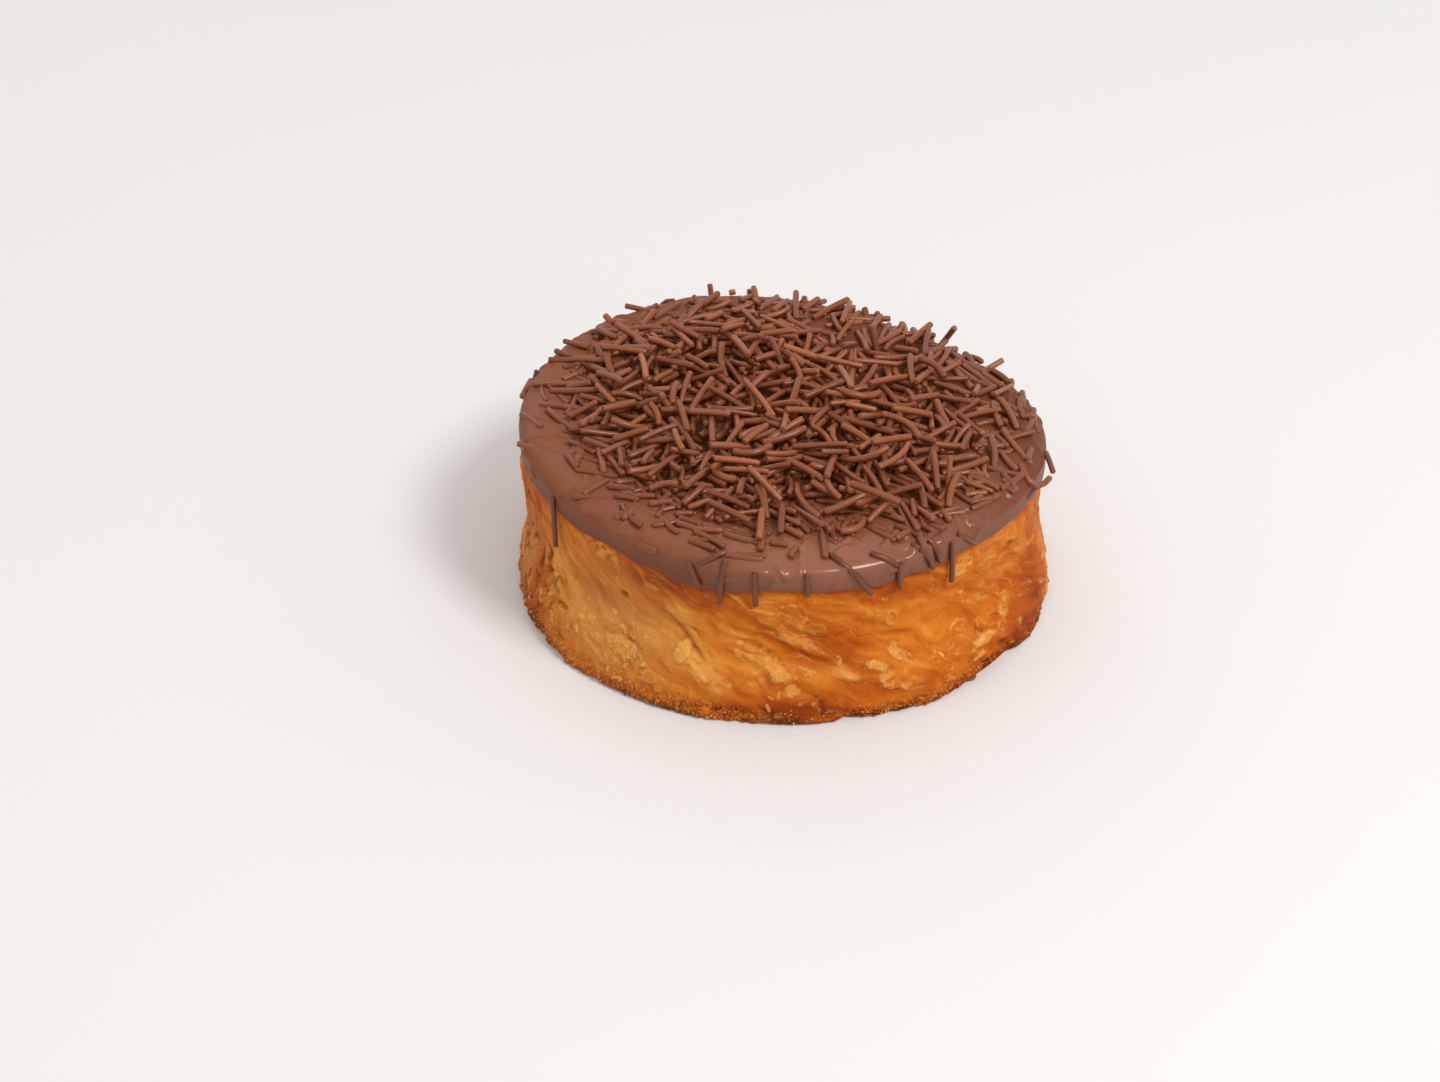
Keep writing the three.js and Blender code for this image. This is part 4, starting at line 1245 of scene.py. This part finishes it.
class HeightMap:
    # heights over the level top: a sprinkle comes to rest on them and then raises them
    def __init__(self, reach, cell):
        self.reach = reach
        self.cell = cell
        self.line = np.arange(-reach, reach + cell, cell)
        x, y = np.meshgrid(self.line, self.line)
        inwards = -pastEdge(x, y)
        angle = np.arctan2(y, x)
        width, drop = rollSize(angle)
        over = np.clip(1 - inwards / width, 0, 1)
        self.bare = form["icingTop"] - topSag(angle, inwards) - drop * (1 - np.sqrt(1 - over * over))
        self.heights = np.where(inwards < 0, -np.inf, self.bare)

    def index(self, value):
        return np.clip(np.round((value + self.reach) / self.cell).astype(int), 0, len(self.line) - 1)

    def ground(self, x, y):
        return float(self.bare[self.index(y), self.index(x)])

    def at(self, x, y):
        return self.heights[self.index(y), self.index(x)]

    def rest(self, place):
        # height and slope on the two supports that hold the middle highest
        radius = place["radius"]
        along = np.arange(-6, 7) / 6 * place["length"] / 2
        aside = np.array([-0.6, 0, 0.6])[:, None] * radius
        c, s = math.cos(place["heading"]), math.sin(place["heading"])
        held = self.at(place["x"] + along * c - aside * s, place["y"] + along * s + aside * c)
        held = (held + np.sqrt(radius**2 - aside**2)).max(axis=0)
        a, b = along[:7, None], along[None, 7:]
        first, second = held[:7, None], held[None, 7:]
        with np.errstate(invalid="ignore"):
            slope = (second - first) / (b - a)
            height = first - slope * a
        height = np.where(np.isfinite(height), height, -np.inf)
        best = np.unravel_index(np.argmax(height), height.shape)
        return height[best], slope[best]

    def raiseAlong(self, place, height, slope):
        radius, half = place["radius"], place["length"] / 2
        x, y, reach = place["x"], place["y"], half + radius
        rows = slice(self.index(y - reach), self.index(y + reach) + 1)
        columns = slice(self.index(x - reach), self.index(x + reach) + 1)
        dx, dy = self.line[columns][None, :] - x, self.line[rows][:, None] - y
        c, s = math.cos(place["heading"]), math.sin(place["heading"])
        along, aside = dx * c + dy * s, dy * c - dx * s
        under = (np.abs(along) <= half) & (np.abs(aside) <= radius)
        top = height + slope * along + np.sqrt(np.maximum(0, radius**2 - aside**2))
        here = self.heights[rows, columns]
        self.heights[rows, columns] = np.where(under, np.maximum(here, top), here)


class Heap:
    # the sprinkles in the order in which they fall, each as middle line, radius and wetness
    def __init__(self):
        self.hills = HeightMap(form["edge"]["mean"] + 8, strewn["cell"])
        self.random = np.random.default_rng(strewn["fillSeed"])
        self.lines = []
        self.coated = []
        self.stickRods()
        self.strewLong()
        self.fillUp()
        self.standUp()
        self.layTop()
        self.stickMargin()

    def thickness(self):
        return strewn["radius"] * self.random.uniform(*strewn["spread"])

    def lay(self, place, height, slope, bend, wetness, raising=True):
        if raising:
            self.hills.raiseAlong(place, height, slope)
        self.lines.append((centreLine(place, height, slope, bend), place["radius"], wetness))

    def stickRods(self):
        for x1, y1, h1, x2, y2, h2, bend in rimRods:
            place = placeBetween(x1, y1, x2, y2, self.thickness())
            slope = (h2 - h1) / place["length"]
            place["length"] = math.hypot(place["length"], h2 - h1)
            level = self.hills.ground(place["x"], place["y"]) + (h1 + h2) / 2
            wetness = 1 - float(smoothStep(0.1, 0.9, max(h1, h2)))
            self.lay(place, level, slope, bend, wetness, max(h1, h2) < 1.2)
        hook = [(x, y, self.hills.ground(x, y) + height) for x, y, height in hookRod]
        self.lines.append((np.array(hook), strewn["radius"], 0))

    def strewLong(self):
        random = self.random
        for place in strewnPlaces():
            place["radius"] = self.thickness()
            x, y = place["x"], place["y"]
            if max(heapShare("heap", x, y), inFill(x, y)) > 0.25:
                height, slope = self.hills.rest(place)
                if np.isfinite(height):
                    bend = random.normal(0, 0.28)
                    self.lay(place, height - strewn["sunk"], slope, bend, dampness(place))
            elif random.random() < 0.5:
                self.coated.append(place)
            elif pastEdge(*place["points"]).max() < 0:
                slope = random.normal(0, 0.04)
                level = self.hills.ground(x, y) + random.uniform(-0.3, 0.3)
                self.lay(place, level, slope, random.normal(0, 0.3), 1, False)

    def fillPlace(self):
        # the lowest of a few places in the heap, or none
        random = self.random
        best = None
        for _ in range(6):
            away = 1.1 * strewn["fillHeap"][2] * math.sqrt(random.random())
            bearing, heading = random.uniform(0, fullTurn), random.uniform(0, math.pi)
            length = random.uniform(*strewn["fillLengths"])
            place = placeAround(away, bearing, heading, length, self.thickness())
            x, y = place["x"], place["y"]
            out = pastEdge(*place["points"]).max() > -1.6
            if out or random.random() > inFill(x, y) + 0.06:
                continue
            height, slope = self.hills.rest(place)
            allowed = min(strewn["lowest"] - strewn["climb"] * pastEdge(x, y), strewn["tallest"])
            allowed = allowed * (1 - 0.55 * smoothStep(8, 34, x + 0.8 * y))
            over = height - self.hills.ground(x, y)
            if not np.isfinite(height) or over > allowed or abs(slope) > strewn["steepest"]:
                continue
            cost = height + random.uniform(-0.8, 0.6) * abs(slope)
            if best is None or cost < best[0]:
                best = (cost, place, height, slope)
        return best

    def fillUp(self):
        random = self.random
        for _ in range(strewn["fill"]):
            best = self.fillPlace()
            if best:
                _, place, height, slope = best
                if random.random() < 0.88:
                    bend = random.normal(0, 0.3)
                else:
                    bend = random.choice([-1, 1]) * random.uniform(0.8, 1.8)
                self.lay(place, height - strewn["pressed"], slope, bend, dampness(place))

    def standUp(self):
        random = self.random
        for _ in range(strewn["steep"]):
            away = strewn["steepReach"] * math.sqrt(random.random())
            bearing, length = random.uniform(0, fullTurn), random.uniform(*strewn["steepLengths"])
            heading = random.uniform(0, fullTurn)
            place = placeAround(away, bearing, heading, length, self.thickness())
            slope, level = random.uniform(0.5, 1.3), float(self.hills.at(place["x"], place["y"]))
            if level < form["icingTop"] + 3.2 and place["x"] + place["y"] < 20:
                self.lay(place, level - 0.6, slope, 0, 0, False)

    def layTop(self):
        for x1, y1, x2, y2, bend in topRods:
            place = placeBetween(x1, y1, x2, y2, self.thickness())
            height, slope = self.hills.rest(place)
            self.lay(place, height - strewn["pressed"], slope, bend, 0)

    def stickMargin(self):
        random = self.random
        stuck = 0
        while stuck < strewn["margin"]:
            x, y = ringDraw(random, *strewn["marginReach"])
            heading, length = random.uniform(0, math.pi), random.uniform(*strewn["marginLengths"])
            place = newPlace(x, y, heading, length, self.thickness())
            share = inFill(x, y)
            out = pastEdge(*place["points"]).max() > -1.2
            if out or random.random() > 0.7 * share + 0.16 or share > 0.8:
                continue
            slope, level = random.normal(0, 0.06), self.hills.ground(x, y) + random.uniform(-0.2, 0.48)
            self.lay(place, level, slope, random.normal(0, 0.4), 1, False)
            stuck += 1


def hangingLines():
    lines = []
    radius = strewn["radius"]
    for rod in hanging:
        ends = []
        for azimuth, out, level in rod:
            angle = np.array(math.radians(azimuth))
            away = around(form["edge"], angle) + out
            if level < 24:
                away = max(away, bareFlank(angle, np.array(level)) + 1.1 * radius)
            ends.append(onRing(away, angle, level))
        start, middle, end = ends
        shares = (endShares(np.linalg.norm(end - start), radius)[:, None] + 1) / 2
        bow = 2 * shares * (1 - shares) * (2 * middle - start - end)
        line = start + shares * (end - start) + bow
        lines.append((line, radius * strewn["spread"][0], strewn["hangingWetness"]))
    return lines


# What all the chocolate has in common.
chocolate = {
    "Subsurface Weight": 0.12,
    "Subsurface Radius": (1.0, 0.4, 0.2),
    "Subsurface Scale": 0.0006,
    "Coat IOR": 1.45,
}


def sprinkleMaterial():
    material, web = newMaterial("chocolateSprinkle")
    place = web.place()
    fine = web.grain(place, 1500, 3, 0.6)
    broad = web.grain(place, 220, 3, 0.5)
    tone = web.attribute("tone") + (fine - 0.5) * 0.5 + (broad - 0.5) * 0.5
    wet = web.attribute("wet")
    colour = web.mixed(wet * 0.75, web.ramp(strewn["colours"], tone), strewn["wetColour"])
    over = web.ranged(wet, 1.0, strewn["hangingWetness"])
    colour = web.mixed(over, colour, strewn["hangingColour"])
    sockets = {"Normal": web.bumped(0.25, 0.00012, fine), "Specular IOR Level": 0.5}
    sockets.update({"Specular Tint": (1.0, 0.74, 0.6, 1.0)})
    sockets.update({"Coat Weight": wet * 0.14 + 0.06, "Coat Roughness": 0.13, **chocolate})
    closeMaterial(web, colour, 0.36 + (broad - 0.5) * 0.2, sockets)
    return material


def sprinkleTree():
    inputs = {"Thickness": "Float", "Sides": "Int", "Material": "Material"}
    tree, web, inside = newTree("sprinkleRods", inputs)
    curve = web.node("GeometryNodeMeshToCurve", None, {"Mesh": inside["Geometry"]})
    scale = web.node("GeometryNodeInputNamedAttribute", {"data_type": "FLOAT"}, {"Name": "girth"})
    sockets = {"Resolution": inside["Sides"], "Radius": inside["Thickness"]}
    circle = web.node("GeometryNodeCurvePrimitiveCircle", {"mode": "RADIUS"}, sockets)
    sockets = {"Curve": curve, "Profile Curve": circle, "Scale": scale, "Fill Caps": True}
    closeTree(web, web.node("GeometryNodeCurveToMesh", None, sockets), inside["Material"])
    return tree


def makeSprinkles(lines):
    random = np.random.default_rng(strewn["toneSeed"])
    points, edges = [], []
    marks = {"girth": [], "tone": [], "wet": []}
    for line, radius, wetness in lines:
        start, count = len(points), len(line)
        points.extend(lifted(line))
        edges.extend((start + i, start + i + 1) for i in range(count - 1))
        taper = endThickness if count == len(endThickness) else np.linspace(1, 0.9, count)
        marks["girth"].extend(taper * radius / strewn["radius"])
        marks["tone"].extend([random.normal(0.5, 0.2)] * count)
        marks["wet"].extend([wetness] * count)
    piece = newPiece("chocolateSprinkles", np.array(points), [], None, marks, edges)
    values = {"Thickness": strewn["radius"] * millimetre, "Sides": strewn["sides"]}
    return smoothShaded(runTree(piece, sprinkleTree(), {**values, "Material": sprinkleMaterial()}))


heap = Heap()
sprinkles = makeSprinkles(heap.lines + hangingLines())
print("sprinkles:", len(heap.lines), "loose,", len(heap.coated), "coated")
print("sprinkles:", len(sprinkles.data.polygons), "faces")

# Icing
coat = {
    "columns": 900,
    "innerRows": 10,
    "marginRows": 60,
    "marginWidth": 17,
    "rollRows": 9,
    "skirtRows": 13,
    "thickness": 0.95,
    "lip": 0.3,
    "ghostSeed": 77,
    "ghostReach": (25, 48),
    "ghostLengths": (2.4, 6),
    "ghostHeights": (0.3, 0.6),
    "cell": 0.2,
    "colours": [(0.0, (112, 62, 39)), (0.5, (128, 74, 49)), (1.0, (146, 90, 63))],
    "thinColour": (112, 54, 26),
    # painted shade on the icing under the heap of sprinkles
    "shadeUnderHeap": (92, 44, 22),
}


def ghostRods():
    # sprinkles that the icing has coated: place, heading, length, height and bend
    random = np.random.default_rng(coat["ghostSeed"])
    rods = []
    for place in heap.coated:
        rods.append((place["x"], place["y"], place["heading"], place["length"], 0.35, 0.2))
    while len(rods) < strewn["ghosts"] + len(heap.coated):
        x, y = ringDraw(random, *coat["ghostReach"])
        if inFill(x, y) <= 0.5:
            heading, length = random.uniform(0, math.pi), random.uniform(*coat["ghostLengths"])
            bend = random.normal(0, 0.25)
            rods.append((x, y, heading, length, random.uniform(*coat["ghostHeights"]), bend))
    return rods


def ghostRelief():
    # a map of how the coated sprinkles raise the icing, over a plan in which the skirt is laid flat
    reach = form["edge"]["mean"] + 10
    line = np.arange(-reach, reach + coat["cell"], coat["cell"])
    relief = np.zeros((len(line), len(line)))
    for x, y, heading, length, high, bend in ghostRods():
        span = length / 2 + 2
        rows = slice(*np.searchsorted(line, (y - span, y + span)))
        columns = slice(*np.searchsorted(line, (x - span, x + span)))
        dx, dy = line[columns][None, :] - x, line[rows][:, None] - y
        c, s = math.cos(heading), math.sin(heading)
        along, aside = dx * c + dy * s, dy * c - dx * s
        aside = aside - bend * (1 - (2 * along / length) ** 2) * length / 8
        away = np.hypot(aside, np.maximum(0, np.abs(along) - (length / 2 - 0.6)))
        core = np.maximum(0, 1 - (away / 0.54) ** 2) ** 0.7
        shape = high * (0.9 * core + 0.1 * bell(away, 1))
        here = relief[rows, columns]
        relief[rows, columns] = np.maximum(here, shape) + 0.25 * np.minimum(here, shape)
    return line, relief


def sampled(line, grid, x, y):
    cell = line[1] - line[0]
    u, v = (x - line[0]) / cell, (y - line[0]) / cell
    i, j = np.floor(u).astype(int), np.floor(v).astype(int)
    a, b = u - i, v - j
    low = grid[j, i] * (1 - a) + grid[j, i + 1] * a
    high = grid[j + 1, i] * (1 - a) + grid[j + 1, i + 1] * a
    return low * (1 - b) + high * b


def icingMaterial():
    material, web = newMaterial("milkChocolate")
    place = web.place()
    broad = web.grain(place, 45, 4, 0.55, 0.6)
    fine = web.grain(place, 700, 3, 0.5)
    gloss, buried = web.attribute("gloss"), web.attribute("buried")
    # glossier at the front, and painted lighter there as painted sheen
    tone = (broad - 0.5) * 0.8 + (fine - 0.5) * 0.2 + gloss * 0.74
    # painted sheen, lighter to the left, and painted light and shade, lighter high up and darker down
    # the skirt
    tone = tone - web.along("X") * 3.0 + (web.along("Z") - 0.0283) * 130.0
    colour = web.mixed(web.attribute("thin") * 0.5, web.ramp(coat["colours"], tone), coat["thinColour"])
    # painted shade on the icing under the heap of sprinkles
    colour = web.mixed(buried * 0.3, colour, coat["shadeUnderHeap"])
    roughness = 0.5 + (broad - 0.5) * 0.12 + (fine - 0.5) * 0.05 - gloss * 0.16
    sockets = {"Normal": web.bumped(0.06, 0.0002, fine), "Specular IOR Level": 0.12}
    sockets.update({"Specular Tint": (1.0, 0.84, 0.76, 1.0), "Coat Tint": (1.0, 0.97, 0.95, 1.0)})
    sockets["Coat Weight"] = web.ranged(gloss - buried, 0.0, 1.0, 0.0, 0.8)
    sockets.update({"Coat Roughness": 0.2, **chocolate})
    closeMaterial(web, colour, roughness, sockets)
    return material


def icingRings(turn, edge, hem):
    # each ring: radius, height, outward and upward parts of its normal, and its radius laid flat
    width, drop = rollSize(turn)
    top, lip, flat = form["icingTop"], coat["lip"], 0 * turn
    rollFoot = top - drop - topSag(turn, 0)
    rollStart = edge - width
    rollLength = 0.8 * (width + drop)
    rings = []
    for share in (0.35, 0.7, 1):
        rings.append((share * (edge - coat["thickness"]), flat + form["pastryTop"] - 0.1, 0, 0, None))
    rings.append((edge - coat["thickness"], hem + lip, 0, 0, None))
    for degrees in (-140, -110, -80, -50, -25, 0):
        lean = math.radians(degrees)
        rings.append((edge - lip + lip * math.cos(lean), hem + lip + lip * math.sin(lean), 0, 0, None))
    for i in range(1, coat["skirtRows"] + 1):
        level = hem + lip + (rollFoot - hem - lip) * i / coat["skirtRows"]
        rings.append((edge, level, 1, 0, rollStart + rollLength + (rollFoot - level)))
    for i in reversed(range(coat["rollRows"])):
        lean = math.pi / 2 * i / coat["rollRows"]
        out = edge - width * (1 - math.sin(lean))
        level = top - topSag(turn, edge - out) - drop * (1 - math.cos(lean))
        laid = rollStart + rollLength * lean / (math.pi / 2)
        rings.append((out, level, math.sin(lean), math.cos(lean), laid))
    for i in range(1, coat["marginRows"] + 1):
        out = rollStart - coat["marginWidth"] * i / coat["marginRows"]
        rings.append((out, top - topSag(turn, edge - out), 0, 1, out))
    for i in range(1, coat["innerRows"]):
        out = (rollStart - coat["marginWidth"]) * (1 - i / coat["innerRows"])
        rings.append((out, flat + top, 0, 1, out))
    return rings


def makeIcing():
    turn = np.arange(coat["columns"]) / coat["columns"] * fullTurn
    x, y = np.cos(turn), np.sin(turn)
    hem = hemLevel(turn)
    line, ghosts = ghostRelief()
    placed, thin, buried = [], [], []
    for out, level, normalOut, normalUp, laid in icingRings(turn, around(form["edge"], turn), hem):
        proud = 0
        if laid is not None:
            proud = sampled(line, ghosts, laid * x, laid * y)
            proud = proud + 0.06 * layeredNoise(laid * x, laid * y, level, 12, 2, 95)
        out, level = out + normalOut * proud, level + normalUp * proud
        placed.append(onRing(out, turn, level))
        thin.append(1 - smoothStep(0, 1.4, level - hem))
        # under the heap: less coat there, and painted shade
        buried.append(smoothStep(0.5, 1, inFill(out * x, out * y)))
    # glossier at the front; the material also paints the colour lighter there as sheen
    gloss = 0.15 + 0.85 * bellAt(turn, -75, 42) + 0 * np.array(thin)
    marks = {"thin": thin, "buried": buried, "gloss": gloss}
    return ringPiece("chocolateIcing", lifted(np.array(placed)), marks, icingMaterial())


icing = makeIcing()
print("icing:", len(icing.data.polygons), "faces")

# Studio
studio = {
    "floorColour": (231, 229, 227),
    "floorCloud": (214, 210, 204),
    "floorReach": 3000,
    "world": (250, 249, 248),
    "worldStrength": 0.78,
    "lens": 62.5,  # the photograph's own angle: this lens on 36 mm, 34.9 degrees above the level
    "sensor": 36,
    "elevation": 34.9,
    "roll": 0.25,
    "camera": (-0.01114, -0.37264, 0.26406),
}
# Softboxes: name, width, power, azimuth, elevation, distance.
softboxes = [
    ("keySoftbox", 0.3, 6.2, -38, 52, 1.1),
    ("sheenSoftbox", 0.4, 0.6, 118, 33, 1.1),
]


def makeFloor():
    material, web = newMaterial("paleFloor")
    cloud = web.grain(web.place(), 6, 3, 0.5) * 0.12
    colour = web.mixed(cloud, colourOf(studio["floorColour"]), studio["floorCloud"])
    closeMaterial(web, colour, 0.6, {})
    corners = np.array([(-1, -1, 0), (1, -1, 0), (1, 1, 0), (-1, 1, 0)]) * studio["floorReach"]
    return newPiece("studioFloor", corners, [(0, 1, 2, 3)], material)


def addLamp(name, size, power, azimuth, elevation, distance):
    light = bpy.data.lights.new(name, "AREA")
    light.shape = "SQUARE"
    light.size = size
    light.energy = power
    lamp = bpy.data.objects.new(name, light)
    turn, rise = math.radians(azimuth), math.radians(elevation)
    flat = math.cos(rise)
    towards = Vector((flat * math.cos(turn), flat * math.sin(turn), math.sin(rise)))
    lamp.rotation_euler = towards.to_track_quat("Z", "Y").to_euler()
    lamp.location = towards * distance
    bpy.context.scene.collection.objects.link(lamp)


def addWorld():
    world = bpy.data.worlds.new("studioWorld")
    world.use_nodes = True
    backdrop = world.node_tree.nodes["Background"]
    backdrop.inputs["Color"].default_value = colourOf(studio["world"])
    backdrop.inputs["Strength"].default_value = studio["worldStrength"]
    bpy.context.scene.world = world


def addCamera():
    camera = bpy.data.cameras.new("camera")
    camera.lens = studio["lens"]
    camera.sensor_width = studio["sensor"]
    camera.clip_end = 20
    holder = bpy.data.objects.new("camera", camera)
    tilt = Matrix.Rotation(math.radians(90 - studio["elevation"]), 4, "X")
    roll = Matrix.Rotation(math.radians(studio["roll"]), 4, "Z")
    holder.matrix_world = Matrix.Translation(studio["camera"]) @ tilt @ roll
    bpy.context.scene.collection.objects.link(holder)
    bpy.context.scene.camera = holder


floor = makeFloor()
addWorld()
for softbox in softboxes:
    addLamp(*softbox)
addCamera()
bpy.context.scene.view_settings.view_transform = "Standard"
print("studio ready")

slots = {"pastry": (pastry, crumbs, shards), "icing": (icing, sprinkles)}
for slot, pieces in slots.items():
    for piece in pieces:
        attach(piece, "root")
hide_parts("pastry_body")
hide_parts("chocolate_icing")
